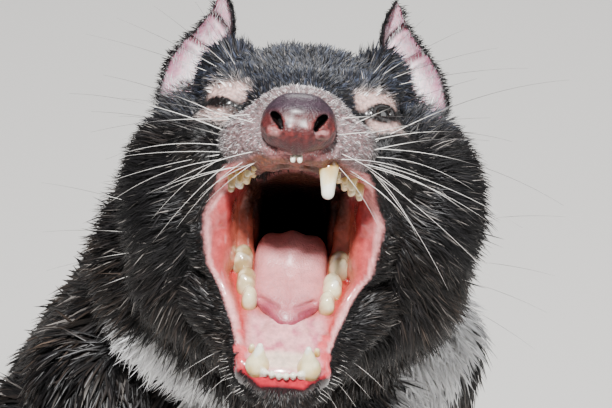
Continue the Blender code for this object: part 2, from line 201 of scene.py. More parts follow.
@dataclass(frozen=True)
class Hair:
    """The hair on one lump of flesh. With away_from, it lies away from that point of the lump's frame."""

    length: float = 0.0
    lie: Triple = (0.0, 0.8, -0.6)
    away_from: Triple | None = None
    lift: float = 22.0
    cover: float = 6.0
    width: float = 0.0006


NOSE_PARTING = (0.0, -0.125, 0.014)
CHIN_PARTING = (0.0, -0.09, 0.022)
JAW_PARTING = (0.0, -0.125, 0.01)

BARE = Hair()
MUZZLE = Hair(0.002, away_from=NOSE_PARTING, lift=32, cover=0.46, width=0.00024)
FACE = Hair(0.0055, away_from=NOSE_PARTING, lift=16, cover=5.0, width=0.00042)
BROW = Hair(0.0052, away_from=NOSE_PARTING, lift=15, cover=6.0, width=0.00042)
CROWN = Hair(0.01, away_from=NOSE_PARTING, lift=36, cover=5.8, width=0.0005)
CHEEK = Hair(0.014, away_from=NOSE_PARTING, lift=29, cover=6.0, width=0.00052)
JOWL = Hair(0.0145, away_from=NOSE_PARTING, lift=28, cover=6.0, width=0.00056)
CHIN = Hair(0.0055, away_from=CHIN_PARTING, lift=34, cover=5.0, width=0.00038)
UNDER_JAW = Hair(0.01, away_from=JAW_PARTING, lift=24, cover=5.4, width=0.0005)
THROAT = Hair(0.017, lie=(0.0, 0.25, -0.97), lift=26, cover=5.4, width=0.00068)
NAPE = Hair(0.019, lie=(0.0, 0.75, -0.66), lift=28, cover=5.2, width=0.0008)
BREAST = Hair(0.022, lie=(0.0, 0.15, -0.99), lift=24, cover=5.6, width=0.0009)
BACK = Hair(0.023, lie=(0.0, 0.75, -0.66), lift=23, cover=5.0, width=0.0015)
RUMP_HAIR = Hair(0.022, lie=(0.0, 0.62, -0.78), lift=22, cover=5.0, width=0.0015)
UPPER_LEG = Hair(0.0155, lie=(0.0, 0.05, -1.0), lift=18, cover=3.0, width=0.0013)
LOWER_LEG = Hair(0.009, lie=(0.0, 0.0, -1.0), lift=16, cover=2.8, width=0.001)
HAUNCH = Hair(0.0185, lie=(0.0, 0.25, -0.97), lift=20, cover=3.2, width=0.00145)
PAW = Hair(0.0048, lie=(0.0, -0.95, -0.3), lift=13, cover=2.6, width=0.0007)
TAIL = Hair(0.0155, lie=(0.15, 1.0, -0.05), lift=18, cover=4.0, width=0.0013)


class Form(Protocol):
    """A closed shape that can say how far away any point is from it."""

    def distance(self, points: Array) -> Array:
        """The distance of each point from the surface, below 0 inside."""

    def ball(self) -> tuple[Vector, float]:
        """The centre and radius of a ball that holds the shape, in the row frame."""


def closest(forms: Sequence[Form], points: Array) -> Array:
    """The distance of each point from the nearest of the forms, below 0 inside."""
    return np.min([form.distance(points) for form in forms], axis=0)


@dataclass(frozen=True)
class Lump:
    """An ellipsoid of flesh."""

    place: Matrix
    centre: Triple
    radii: Triple
    turn: Triple = (0.0, 0.0, 0.0)
    hair: Hair = BARE
    part: Part = Part.HEAD

    def distance(self, points: Array) -> Array:
        """The distance of each point from the surface, below 0 inside."""
        turned = self.place @ Matrix.Translation(self.centre) @ Euler(self.turn).to_matrix().to_4x4()
        near = into(turned, points)
        radii = np.array(self.radii, dtype=np.float32)
        scaled = np.sqrt(((near / radii) ** 2).sum(axis=1))
        slope = np.sqrt(((near / radii**2) ** 2).sum(axis=1))
        reach = np.where(scaled < 1e-3, radii.min(), scaled / np.maximum(slope, 1e-6))
        return (scaled - 1.0) * reach

    def ball(self) -> tuple[Vector, float]:
        """The centre and radius of a ball that holds the shape, in the row frame."""
        return self.place @ Vector(self.centre), max(self.radii)


@dataclass(frozen=True)
class Limb:
    """A round bar of flesh whose radius changes from its start to its end."""

    place: Matrix
    start: Triple
    end: Triple
    start_radius: float
    end_radius: float
    hair: Hair = BARE
    part: Part = Part.HEAD

    def distance(self, points: Array) -> Array:
        """The distance of each point from the surface, below 0 inside."""
        near = into(self.place, points) - np.array(self.start, dtype=np.float32)
        along = np.array(self.end, dtype=np.float32) - np.array(self.start, dtype=np.float32)
        share = np.clip(near @ along / max(float(along @ along), 1e-12), 0.0, 1.0)
        radius = self.start_radius + (self.end_radius - self.start_radius) * share
        return np.linalg.norm(near - share[:, None] * along, axis=1) - radius

    def ball(self) -> tuple[Vector, float]:
        """The centre and radius of a ball that holds the shape, in the row frame."""
        start, end = self.place @ Vector(self.start), self.place @ Vector(self.end)
        return (start + end) / 2, (end - start).length / 2 + max(self.start_radius, self.end_radius)


@dataclass(frozen=True)
class Wrap:
    """The convex shape that wraps a set of balls, given as (frame, centre, radius)."""

    balls: tuple[tuple[Matrix, Triple, float], ...]

    def planes(self) -> tuple[Array, Array]:
        """The shape's faces.

        Returns:
            The outward normals, one to a row, and how far along them the faces lie.
        """
        shape = bmesh.new()
        for place, centre, radius in self.balls:
            bmesh.ops.create_icosphere(
                shape, subdivisions=1, radius=radius, matrix=place @ Matrix.Translation(centre)
            )
        bmesh.ops.delete(shape, geom=shape.edges, context="EDGES_FACES")
        bmesh.ops.convex_hull(shape, input=shape.verts)
        bmesh.ops.recalc_face_normals(shape, faces=shape.faces)
        normals = np.array([tuple(face.normal) for face in shape.faces], dtype=np.float32)
        offsets = np.array([face.normal.dot(face.verts[0].co) for face in shape.faces], dtype=np.float32)
        shape.free()
        return normals, offsets

    def distance(self, points: Array) -> Array:
        """The distance of each point from the surface, below 0 inside."""
        normals, offsets = self.planes()
        furthest = np.full(len(points), -FAR, dtype=np.float32)
        for normal, offset in zip(normals, offsets):
            np.maximum(furthest, points @ normal - offset, out=furthest)
        return furthest

    def ball(self) -> tuple[Vector, float]:
        """The centre and radius of a ball that holds the shape, in the row frame."""
        centres = [place @ Vector(centre) for place, centre, _ in self.balls]
        middle = sum(centres, Vector()) / len(centres)
        return middle, max((centre - middle).length for centre in centres) + 0.01


@dataclass(frozen=True)
class HalfSpace:
    """All that lies on one side of a plane: what has y above 0 in the plane's frame."""

    place: Matrix

    def distance(self, points: Array) -> Array:
        """The distance of each point from the plane, below 0 on that side."""
        return -into(self.place, points)[:, 1]

    def ball(self) -> tuple[Vector, float]:
        """A ball round the whole animal."""
        return Vector((0.0, 0.0, 0.2)), FAR


def chain(
    place: Matrix,
    points: Sequence[Triple],
    radii: Sequence[float],
    hair: Hair | Sequence[Hair] = BARE,
    part: Part = Part.HEAD,
) -> list[Limb]:
    """Joins points by bars of flesh.

    Args:
        place: The frame of the points.
        points: The points in order.
        radii: The radius at each point.
        hair: The hair on the bars, or one kind for each bar.
        part: The part of the coat that they belong to.

    Returns:
        One bar for each stretch.
    """
    bars = []
    for number, (start, end) in enumerate(zip(points, points[1:])):
        kind = hair if isinstance(hair, Hair) else hair[number]
        bars.append(Limb(place, tuple(start), tuple(end), radii[number], radii[number + 1], kind, part))
    return bars


@dataclass
class Lattice:
    """A box of points at which the distance from the skin is worked out, before the skin is drawn."""

    low: Triple
    high: Triple
    step: float
    place: Matrix = field(default_factory=lambda: Matrix.Identity(4))

    def __post_init__(self) -> None:
        """Fills the box with empty space."""
        size = (np.array(self.high) - np.array(self.low)) / self.step
        self.values = np.full(tuple(int(round(side)) + 1 for side in size), FAR, dtype=np.float32)

    def block(self, form: Form, margin: float) -> tuple[tuple[slice, ...], Array] | None:
        """Finds the points that a form can reach.

        Args:
            form: The form.
            margin: How far outside it to look.

        Returns:
            The slices of the box and the points themselves, or None if there are none.
        """
        centre, radius = form.ball()
        middle = np.array(self.place.inverted() @ centre)
        first = np.maximum(0, np.floor((middle - radius - margin - self.low) / self.step).astype(int))
        last = np.minimum(
            self.values.shape, np.ceil((middle + radius + margin - self.low) / self.step).astype(int) + 1
        )
        if np.any(last <= first):
            return None
        axes = [self.low[i] + self.step * np.arange(first[i], last[i]) for i in range(3)]
        points = np.stack(np.meshgrid(*axes, indexing="ij"), axis=-1).reshape(-1, 3).astype(np.float32)
        return tuple(slice(*pair) for pair in zip(first, last)), out_of(self.place, points)

    def melt(self, forms: Sequence[Form], blend: float) -> None:
        """Adds forms, which run together where they meet.

        Args:
            forms: The forms.
            blend: How far their meeting is rounded.
        """
        for form in forms:
            found = self.block(form, blend + 3 * self.step)
            if found:
                where, points = found
                new = form.distance(points).reshape(self.values[where].shape)
                near = np.maximum(blend - np.abs(self.values[where] - new), 0.0) / blend
                self.values[where] = np.minimum(self.values[where], new) - near * near * (blend / 4)

    def carve(self, forms: Sequence[Form], blend: float) -> None:
        """Takes forms away, with a rounded edge.

        Args:
            forms: The forms.
            blend: How far the edge is rounded.
        """
        for form in forms:
            found = self.block(form, blend + 3 * self.step)
            if found:
                where, points = found
                new = -form.distance(points).reshape(self.values[where].shape)
                near = np.maximum(blend - np.abs(self.values[where] - new), 0.0) / blend
                self.values[where] = np.maximum(self.values[where], new) + near * near * (blend / 4)

    def surface(self) -> tuple[Array, Array]:
        """Draws the skin.

        Returns:
            Its points in the row frame and its four-sided faces.
        """
        grid = openvdb.FloatGrid(FAR)
        grid.copyFromArray(self.values)
        points, quads = grid.convertToQuads(0.0)
        points = points.astype(np.float32) * self.step + np.array(self.low, dtype=np.float32)
        quads = quads.astype(np.int32)
        a, b, c = points[quads[:, 0]], points[quads[:, 1]], points[quads[:, 2]]
        outward = float((a * np.cross(b - a, c - a)).sum()) > 0
        return out_of(self.place, points), quads if outward else quads[:, ::-1]


def mesh_piece(name: str, points: Array, faces: Array, finish: bpy.types.Material) -> bpy.types.Object:
    """Makes a smooth object from arrays.

    Args:
        name: The object's name.
        points: Its vertices, one to a row.
        faces: Its faces, one to a row, all with as many corners.
        finish: Its material.

    Returns:
        The object, linked to the scene.
    """
    corners = faces.shape[1]
    mesh = bpy.data.meshes.new(name)
    mesh.vertices.add(len(points))
    mesh.vertices.foreach_set("co", points.astype(np.float32).ravel())
    mesh.loops.add(faces.size)
    mesh.loops.foreach_set("vertex_index", faces.astype(np.int32).ravel())
    mesh.polygons.add(len(faces))
    mesh.polygons.foreach_set("loop_start", np.arange(0, faces.size, corners, dtype=np.int32))
    mesh.update(calc_edges=True)
    mesh.shade_smooth()
    mesh.materials.append(finish)
    made = bpy.data.objects.new(name, mesh)
    bpy.context.scene.collection.objects.link(made)
    return made


def joined_arrays(surfaces: Sequence[tuple[Array, Array]]) -> tuple[Array, Array]:
    """Puts several surfaces into one pair of arrays.

    Args:
        surfaces: Points and faces of each.

    Returns:
        All points and all faces.
    """
    points, faces, count = [], [], 0
    for some_points, some_faces in surfaces:
        points.append(some_points)
        faces.append(some_faces + count)
        count += len(some_points)
    return np.concatenate(points), np.concatenate(faces)


def paint(piece: bpy.types.Object, name: str, colours: Array) -> None:
    """Stores a colour for each vertex.

    Args:
        piece: The object.
        name: The attribute's name.
        colours: Red, green and blue, one row for each vertex.
    """
    attribute = piece.data.color_attributes.new(name, "FLOAT_COLOR", "POINT")
    full = np.ones((len(colours), 4), dtype=np.float32)
    full[:, :3] = colours
    attribute.data.foreach_set("color", full.ravel())


def settle(piece: bpy.types.Object, slot: str, *nodes: str) -> None:
    """Tells the frame what a piece rides on and stands for.

    Args:
        piece: The object.
        slot: The record's material slot; not used.
        nodes: The solids that it replaces.
    """
    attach(piece, "root")
    if nodes:
        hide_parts(*nodes)
    LOG.info("%s: %d faces", piece.name, len(piece.data.polygons))


@dataclass(frozen=True)
class Layer:
    """Forms that are added to the flesh or taken from it in one go."""

    forms: tuple[Form, ...]
    blend: float
    taken: bool = False


@dataclass(frozen=True)
class Eye:
    """Where the eyes are and where they look, for the left side of the head."""

    centre: Triple = (0.0282, -0.056, 0.0205)
    looks: Triple = (0.5, -0.8, 0.2)
    radius: float = 0.007
    lid_across: float = 0.005
    lid_up: float = 0.0029
    squint: tuple[float, float] = (0.86, 0.62)

    def slit(self, side: int) -> tuple[float, float]:
        """Half the width and height of the slit between the lids: the right eye is screwed up."""
        wide, high = self.squint if side == RIGHT else (1.0, 1.0)
        return self.lid_across * wide, self.lid_up * high

    def frame(self, side: int) -> Matrix:
        """Gives the eye's own frame.

        Args:
            side: LEFT or RIGHT.

        Returns:
            A frame at the eye's centre whose -Y axis looks out of the eye and whose Z axis is up.
        """
        out = Vector(side_point(self.looks, side)).normalized()
        across = out.cross(Vector((0, 0, 1))).normalized()
        up = across.cross(out)
        turn = Matrix((across, -out, up)).transposed().to_4x4()
        return HEAD @ Matrix.Translation(side_point(self.centre, side)) @ turn

    def ring(self, points: Array) -> Array:
        """How far points lie from the nearer eye's axis, where 1 is the edge of its lids."""
        nearest = np.full(len(points), FAR / MILLIMETRE, dtype=np.float32)
        for side, _ in SIDES:
            near = into(self.frame(side), points)
            wide, high = self.slit(side)
            found = np.hypot(near[:, 0] / wide, near[:, 2] / high)
            found[near[:, 1] > 0.0] = FAR / MILLIMETRE
            nearest = np.minimum(nearest, found)
        return nearest


@dataclass(frozen=True)
class Mouth:
    """The open mouth: its room, its lips and the soft forms inside it."""

    palate: float = -0.006
    left_draws_in: float = 0.0046
    right_draws_in: float = 0.0022
    lip_radius: float = 0.0034

    def room(self) -> Wrap:
        """The space between the palate, the cheeks and the floor of the mouth."""
        corners = []
        for side, _ in SIDES:
            for place, centre, radius in (
                (HEAD, (0.013, -0.102, self.palate - 0.003), 0.003),
                (HEAD, (0.025, -0.07, self.palate - 0.004), 0.004),
                (HEAD, (0.029, -0.051, -0.022), 0.003),
                (HEAD, (0.011, -0.018, self.palate - 0.006), 0.006),
                (HEAD, (0.011, -0.014, -0.032), 0.006),
                (JAW, (0.008, -0.099, 0.004), 0.002),
                (JAW, (0.018 - self.drawn_in(side), -0.07, 0.006), 0.003),
                (JAW, (0.026, -0.054, 0.015), 0.003),
            ):
                corners.append((place, side_point(centre, side), radius))
        return Wrap(tuple(corners))

    def drawn_in(self, side: int) -> float:
        """How much narrower the lower lip is on this side."""
        return self.left_draws_in if side == LEFT else self.right_draws_in

    def throat(self) -> Lump:
        """The way down behind the tongue, whose lining is painted near-black as shade."""
        return Lump(HEAD, (0.0, -0.01, -0.021), (0.0136, 0.028, 0.015))

    def vault(self) -> Lump:
        """The arched roof of the mouth."""
        return Lump(HEAD, (0.0, -0.052, -0.0085), (0.014, 0.04, 0.0055))

    def depth(self, points: Array) -> Array:
        """How far points lie outside the hollow of the mouth, below 0 inside it."""
        return closest((self.room(), self.throat(), self.vault()), points)

    def linings(self) -> list[Form]:
        """The flesh of the cheeks and under the tongue, which the hollow is cut from."""
        forms: list[Form] = [Lump(JAW, (0, -0.068, -0.006), (0.022, 0.04, 0.0095))]
        for side, _ in SIDES:
            for upper, lower in (
                ((0.032, -0.046, -0.008), (0.031, -0.046, 0.01)),
                ((0.0295, -0.036, -0.01), (0.0305, -0.034, 0.008)),
            ):
                low = tuple(HEAD.inverted() @ (JAW @ Vector(side_point(lower, side))))
                forms.append(Limb(HEAD, side_point(upper, side), low, 0.006, 0.006))
        return forms

    def lips(self, side: int) -> list[Limb]:
        """Gives the rims of both lips on one side.

        Args:
            side: LEFT or RIGHT.

        Returns:
            Bars along the upper lip, the corner of the mouth and the lower lip.
        """
        upper = [
            (0, -0.107, 0.0012),
            (0.0095, -0.104, 0.0005),
            (0.015, -0.093, 0.0008),
            (0.0195, -0.08, 0.0004),
            (0.0245, -0.068, -0.0008),
            (0.03, -0.058, -0.004),
            (0.034, -0.0515, -0.0095),
            (0.0365, -0.048, -0.019),
        ]
        lower = [
            (0.0355, -0.047, 0.023),
            (0.033, -0.05, 0.013),
            (0.0276 - self.drawn_in(side), -0.057, 0.006),
            (0.024 - self.drawn_in(side), -0.068, 0.002),
            (0.0195 - self.drawn_in(side), -0.083, 0.001),
            (0.0145 - self.drawn_in(side) * 0.3, -0.094, -0.002),
            (0.0085, -0.099, -0.0028),
            (0, -0.1008, -0.003),
        ]
        rims = []
        for place, points, hair in ((HEAD, upper, FACE), (JAW, lower, CHIN)):
            rims += chain(place, mirrored(points, side), [self.lip_radius] * len(points), hair)
        return rims

    def warts(self) -> list[Lump]:
        """The small fleshy points on the lips beside the lower canines and below the nose."""
        lumps = []
        draw = np.random.default_rng(31)
        for side, _ in SIDES:
            for number in range(9):
                share = number / 8
                out = 0.0164 + (0.0032 - 0.9 * self.drawn_in(side)) * share + draw.uniform(-0.0012, 0.0008)
                centre = (out, -0.0935 + 0.0125 * share, 0.0012 + draw.uniform(-0.0012, 0.0024))
                size = draw.uniform(0.0011, 0.002)
                lumps.append(Lump(JAW, side_point(centre, side), (size, size * 1.2, size)))
            lumps.append(Lump(HEAD, (0.0022 * side, -0.1095, -0.0008), (0.002, 0.002, 0.0026)))
            for number in range(7):
                below = -0.0008 + draw.uniform(-0.001, 0.001)
                centre = (0.0042 + 0.0019 * number, -0.1082 + 0.0009 * number, below)
                lumps.append(Lump(HEAD, side_point(centre, side), (0.0016, 0.0013, 0.0015)))
        return lumps

    def gums(self) -> list[Form]:
        """The ridges that the teeth stand in."""
        ridges: list[Form] = []
        for side, _ in SIDES:
            upper = [(0.01, -0.0985, -0.0045), (0.014, -0.083, -0.0035), (0.0235, -0.05, -0.0045)]
            lower = [(0.0095, -0.096, -0.0005), (0.014, -0.072, -0.0005), (0.017, -0.055, 0.0002)]
            lower.append((0.0205, -0.036, 0.002))
            ridges += chain(HEAD, mirrored(upper, side), (0.0026, 0.003, 0.0036))
            ridges += chain(JAW, mirrored(lower, side), (0.004, 0.004, 0.0042, 0.0042))
        ridges.append(Lump(HEAD, (0.0, -0.102, -0.0038), (0.0095, 0.0028, 0.0026)))
        ridges.append(Lump(HEAD, (-0.0122, -0.0975, -0.0022), (0.004, 0.005, 0.0034)))
        ridges.append(Lump(JAW, (0.0, -0.0975, 0.0005), (0.0095, 0.0034, 0.0038)))
        ridges.append(Lump(JAW, (0.0, -0.0945, 0.0015), (0.009, 0.0045, 0.0036)))
        return ridges

    def folds(self) -> list[Form]:
        """The ridges of the palate, the arches at the throat and the folds under the tongue."""
        forms: list[Form] = []
        bow = [(-0.009, -0.0915, -0.0062), (0.0, -0.0945, -0.0048), (0.009, -0.0915, -0.0062)]
        forms += chain(HEAD, bow, (0.0012, 0.0015, 0.0012))
        for side, _ in SIDES:
            arch = [(0.02, -0.029, -0.008), (0.0205, -0.027, -0.02), (0.018, -0.025, -0.036)]
            forms += chain(HEAD, mirrored(arch, side), (0.004, 0.0042, 0.0046))
            inner = [(0.0162, -0.02, -0.008), (0.0166, -0.017, -0.02), (0.0162, -0.017, -0.035)]
            forms += chain(HEAD, mirrored(inner, side), (0.003, 0.0032, 0.0036))
            forms.append(Lump(HEAD, side_point((0.028, -0.04, -0.016), side), (0.0045, 0.009, 0.008)))
            forms.append(Lump(HEAD, side_point((0.0275, -0.035, -0.03), side), (0.005, 0.008, 0.012)))
            pleat = [(0.025, -0.033, -0.01), (0.0256, -0.034, -0.022), (0.024, -0.033, -0.036)]
            forms += chain(HEAD, mirrored(pleat, side), (0.0016, 0.002, 0.0018))
            under = [(0.0035, -0.07, 0.0034), (0.0062, -0.08, 0.0032), (0.0048, -0.089, 0.0022)]
            forms += chain(JAW, mirrored(under, side), (0.0014, 0.0016, 0.001))
        forms.append(Lump(JAW, (0.0, -0.0825, 0.0002), (0.0135, 0.014, 0.0042)))
        forms.append(Lump(JAW, (0.0, -0.07, -0.0034), (0.016, 0.02, 0.0052)))
        forms += chain(JAW, [(0.0, -0.073, 0.0046), (0.0, -0.088, 0.0034)], (0.0012, 0.0009))
        return forms


@dataclass(frozen=True)
class Legs:
    """The joints of the left legs and the sizes of the feet."""

    shoulder: Triple = (0.065, -0.05, 0.224)
    elbow: Triple = (0.072, -0.03, 0.142)
    wrist: Triple = (0.065, -0.07, 0.036)
    hip: Triple = (0.05, 0.128, 0.098)
    knee: Triple = (0.08, 0.042, 0.086)
    heel: Triple = (0.078, 0.128, 0.018)
    forefoot: float = 0.044
    hindfoot: float = 0.08
    toe: float = 0.0052
    claw: float = 0.014

    def paw(self, side: int, fore: bool) -> Vector:
        """Where the toes of a foot fan out from."""
        joint, length, out = (self.wrist, self.forefoot * 0.45, 0) if fore else (self.heel,
            self.hindfoot * 0.8, 0.004)
        return Vector(((joint[0] + out) * side, joint[1] - length, 0.0085))

    def knuckles(self, side: int, fore: bool) -> list[tuple[Vector, Vector]]:
        """Places the toes of a foot.

        Args:
            side: LEFT or RIGHT.
            fore: Whether it is a forefoot.

        Returns:
            For each toe its knuckle and the tip of its claw.
        """
        count, spread, reach = (5, 0.034, 0.018) if fore else (4, 0.028, 0.016)
        paw = self.paw(side, fore)
        found = []
        for number in range(count):
            share = number / (count - 1) - 0.5
            sideways = share * spread * side
            knuckle = paw + Vector((sideways, -reach * (1 - 0.9 * share**2), 0.001))
            tip = knuckle + Vector((sideways * 0.15, -self.toe * 1.8 - self.claw * 0.75, -0.006))
            found.append((knuckle, tip))
        return found

    def foreleg(self, side: int) -> list[Form]:
        """The flesh of one foreleg."""
        part = Part.FORELEG_LEFT if side == LEFT else Part.FORELEG_RIGHT
        shoulder, elbow, wrist = (side_point(joint, side) for joint in (self.shoulder, self.elbow,
            self.wrist))
        low = (wrist[0], wrist[1] - self.forefoot * 0.45, 0.011)
        forms: list[Form] = []
        forms += chain(WORLD, [shoulder, elbow, wrist], (0.034, 0.021, 0.012), (UPPER_LEG, LOWER_LEG), part)
        forms += chain(WORLD, [wrist, low], (0.011, 0.0115), PAW, part)
        forms.append(Lump(WORLD, low, (0.0165, 0.019, 0.01), hair=PAW, part=part))
        return forms + self.toes(side, True, part)

    def hindleg(self, side: int) -> list[Form]:
        """The flesh of one hind leg."""
        part = Part.HINDLEG_LEFT if side == LEFT else Part.HINDLEG_RIGHT
        hip, knee, heel = (Vector(side_point(joint, side)) for joint in (self.hip, self.knee, self.heel))
        low = heel + Vector((0.004 * side, -self.hindfoot * 0.8, -0.006))
        haunch = (hip + knee) / 2 + Vector((0.008 * side, 0, 0))
        turn = (math.radians(8), 0.0, 0.0)
        forms: list[Form] = [Lump(WORLD, tuple(haunch), (0.028, 0.062, 0.052), turn, HAUNCH, part)]
        forms += chain(WORLD, [knee, heel], (0.026, 0.016), LOWER_LEG, part)
        forms += chain(WORLD, [heel, low], (0.012, 0.01), PAW, part)
        forms.append(Lump(WORLD, tuple(low), (0.016, 0.018, 0.009), hair=PAW, part=part))
        return forms + self.toes(side, False, part)

    def toes(self, side: int, fore: bool, part: Part) -> list[Form]:
        """The toes of one foot."""
        radii = (self.toe, self.toe * 1.75, self.toe * 1.15)
        return [Lump(WORLD, tuple(knuckle), radii, hair=PAW, part=part) for knuckle,
            _ in self.knuckles(side, fore)]


@dataclass(frozen=True)
class Tail:
    """The fat tail on the floor."""

    start: float = 0.192
    length: float = 0.245
    root_radius: float = 0.029
    tip_radius: float = 0.0035
    lumps: int = 8

    def flesh(self) -> list[Limb]:
        """Bars from the rump to the tip."""
        points, radii = [], []
        for number in range(self.lumps + 1):
            share = number / self.lumps
            radius = self.tip_radius + (self.root_radius - self.tip_radius) * (1 - share**1.5)
            points.append((0.045 * share**2, self.start + self.length * share,
                radius + 0.002 + 0.022 * (1 - share) ** 3))
            radii.append(radius)
        return chain(WORLD, points, radii, TAIL, Part.TAIL)


@dataclass(frozen=True)
class Flesh:
    """The flesh of the whole animal under its coat."""

    mouth: Mouth = Mouth()
    legs: Legs = Legs()
    tail: Tail = Tail()
    eye: Eye = Eye()
    flat_cheek: float = 0.005

    def skull(self) -> list[Form]:
        """Cranium, temples, cheeks, brows and muzzle."""
        forms: list[Form] = [
            Lump(HEAD, (0, -0.008, 0.0215), (0.04, 0.052, 0.0295), hair=CROWN),
            Lump(HEAD, (0, 0.026, 0.016), (0.043, 0.034, 0.034), hair=CROWN),
            Lump(HEAD, (0, -0.046, 0.021), (0.027, 0.03, 0.018), hair=BROW),
            Lump(HEAD, (0, -0.078, 0.014), (0.019, 0.034, 0.012), hair=MUZZLE),
            Lump(HEAD, (0, -0.096, 0.007), (0.018, 0.013, 0.011), hair=MUZZLE),
        ]
        for side, _ in SIDES:
            for centre, radii, hair in (
                ((0.043, -0.008, -0.007), (0.027, 0.041, 0.036), CHEEK),
                ((0.05, 0.006, -0.03), (0.016, 0.03, 0.026), JOWL),
                ((0.029, 0.0, 0.04), (0.01, 0.018, 0.014), CROWN),
                ((0.026, -0.042, 0.033), (0.012, 0.016, 0.006), BROW),
                ((0.0272, -0.05, 0.0185), (0.012, 0.0135, 0.013), FACE),
                ((0.034, -0.042, 0.004), (0.013, 0.024, 0.016), FACE),
                ((0.017, -0.082, 0.004), (0.012, 0.022, 0.011), MUZZLE),
            ):
                narrower = self.flat_cheek if side == RIGHT and hair in (CHEEK, JOWL) else 0.0
                centre = (centre[0] - narrower, centre[1], centre[2])
                forms.append(Lump(HEAD, side_point(centre, side), radii, hair=hair))
        return forms

    def mandible(self) -> list[Form]:
        """The lower jaw."""
        forms: list[Form] = [
            Lump(JAW, (0, -0.091, -0.009), (0.012, 0.009, 0.007), hair=CHIN),
            Lump(JAW, (0, -0.06, -0.015), (0.022, 0.036, 0.011), hair=UNDER_JAW),
        ]
        for side, _ in SIDES:
            arm = [(0.011, -0.093, -0.007), (0.026, -0.056, -0.008), (0.036, -0.012, -0.01)]
            forms += chain(JAW, mirrored(arm, side), (0.006, 0.01, 0.02), (CHIN, UNDER_JAW))
        return forms

    def neck(self) -> list[Form]:
        """The thick neck."""
        return [
            Lump(WORLD, (0.004, -0.076, 0.292), (0.075, 0.056, 0.058), hair=NAPE, part=Part.NECK),
            Lump(HEAD, (0, 0.042, 0.0), (0.046, 0.036, 0.038), hair=NAPE, part=Part.NECK),
            Lump(HEAD, (0, 0.03, -0.026), (0.054, 0.036, 0.05), hair=NAPE, part=Part.NECK),
            Lump(HEAD, (0, 0.004, -0.046), (0.05, 0.034, 0.026), hair=THROAT, part=Part.NECK),
        ]

    def trunk(self) -> list[Form]:
        """Rump, loins, ribs, chest and withers."""
        spine = [(0, 0.142, 0.085), (0, 0.088, 0.136), (0, 0.022, 0.18), (0.001, -0.03, 0.212)]
        kinds = (RUMP_HAIR, BACK, BACK)
        forms: list[Form] = []
        forms += chain(WORLD, spine, (0.076, 0.07, 0.074, 0.078), kinds, Part.TORSO)
        forms.append(Lump(WORLD, (0.002, -0.042, 0.252), (0.074, 0.054, 0.052), hair=BACK, part=Part.TORSO))
        forms.append(Lump(WORLD, (0, -0.078, 0.208), (0.052, 0.034, 0.056), hair=BREAST, part=Part.TORSO))
        return forms

    def lids(self) -> list[Form]:
        """The rims of the eyelids."""
        forms: list[Form] = []
        steps = 20
        for side, _ in SIDES:
            place = self.eye.frame(side)
            wide, high = self.eye.slit(side)
            for wider, taller, back, thick, end in (
                (1.0, 1.0, 0.0, 0.001, steps),
                (1.25, 1.8, 0.0016, 0.0009, steps // 2),
            ):
                points = []
                for step in range(end + 1):
                    angle = 2 * math.pi * step / steps
                    up = high * taller * math.sin(angle) * (1.0 if step < steps / 2 else 0.8)
                    across = wide * wider * math.cos(angle)
                    points.append((across, back - 0.0062 + 0.0012 * math.cos(angle) ** 2, up))
                forms += chain(place, points, [thick] * (end + 1))
        return forms

    def sockets(self) -> list[Form]:
        """The room of the eyeballs and the slits between the lids."""
        forms: list[Form] = []
        for side, _ in SIDES:
            wide, high = self.eye.slit(side)
            forms.append(Lump(self.eye.frame(side), (0, -0.01, 0), (wide - 0.0002, 0.008, high - 0.0002)))
        return forms

    def hairy(self) -> list[Form]:
        """All the forms that say how the coat lies."""
        forms = self.skull() + self.mandible() + self.neck() + self.trunk() + list(self.tail.flesh())
        for side, _ in SIDES:
            forms += self.legs.foreleg(side) + self.legs.hindleg(side) + self.mouth.lips(side)
        return forms

    def layers(self) -> list[Layer]:
        """All the flesh in the order in which it is put on and taken off."""
        body = self.neck() + self.trunk() + list(self.tail.flesh())
        lips: list[Form] = []
        for side, _ in SIDES:
            body += self.legs.foreleg(side) + self.legs.hindleg(side)
            lips += self.mouth.lips(side)
        floor = HalfSpace(Matrix.Rotation(math.radians(-90), 4, "X"))
        return [
            Layer(tuple(body), 0.008),
            Layer(tuple(self.skull() + self.mandible()), 0.006),
            Layer(tuple(self.mouth.linings()), 0.003),
            Layer(tuple(lips), 0.004),
            Layer((self.mouth.room(), self.mouth.throat(), self.mouth.vault()), 0.003, taken=True),
            Layer(tuple(self.mouth.gums() + self.mouth.folds()), 0.0034),
            Layer(tuple(self.mouth.warts()), 0.0012),
            Layer(tuple(self.sockets()), 0.001, taken=True),
            Layer(tuple(self.lids()), 0.0014),
            Layer((floor,), 0.001, taken=True),
        ]


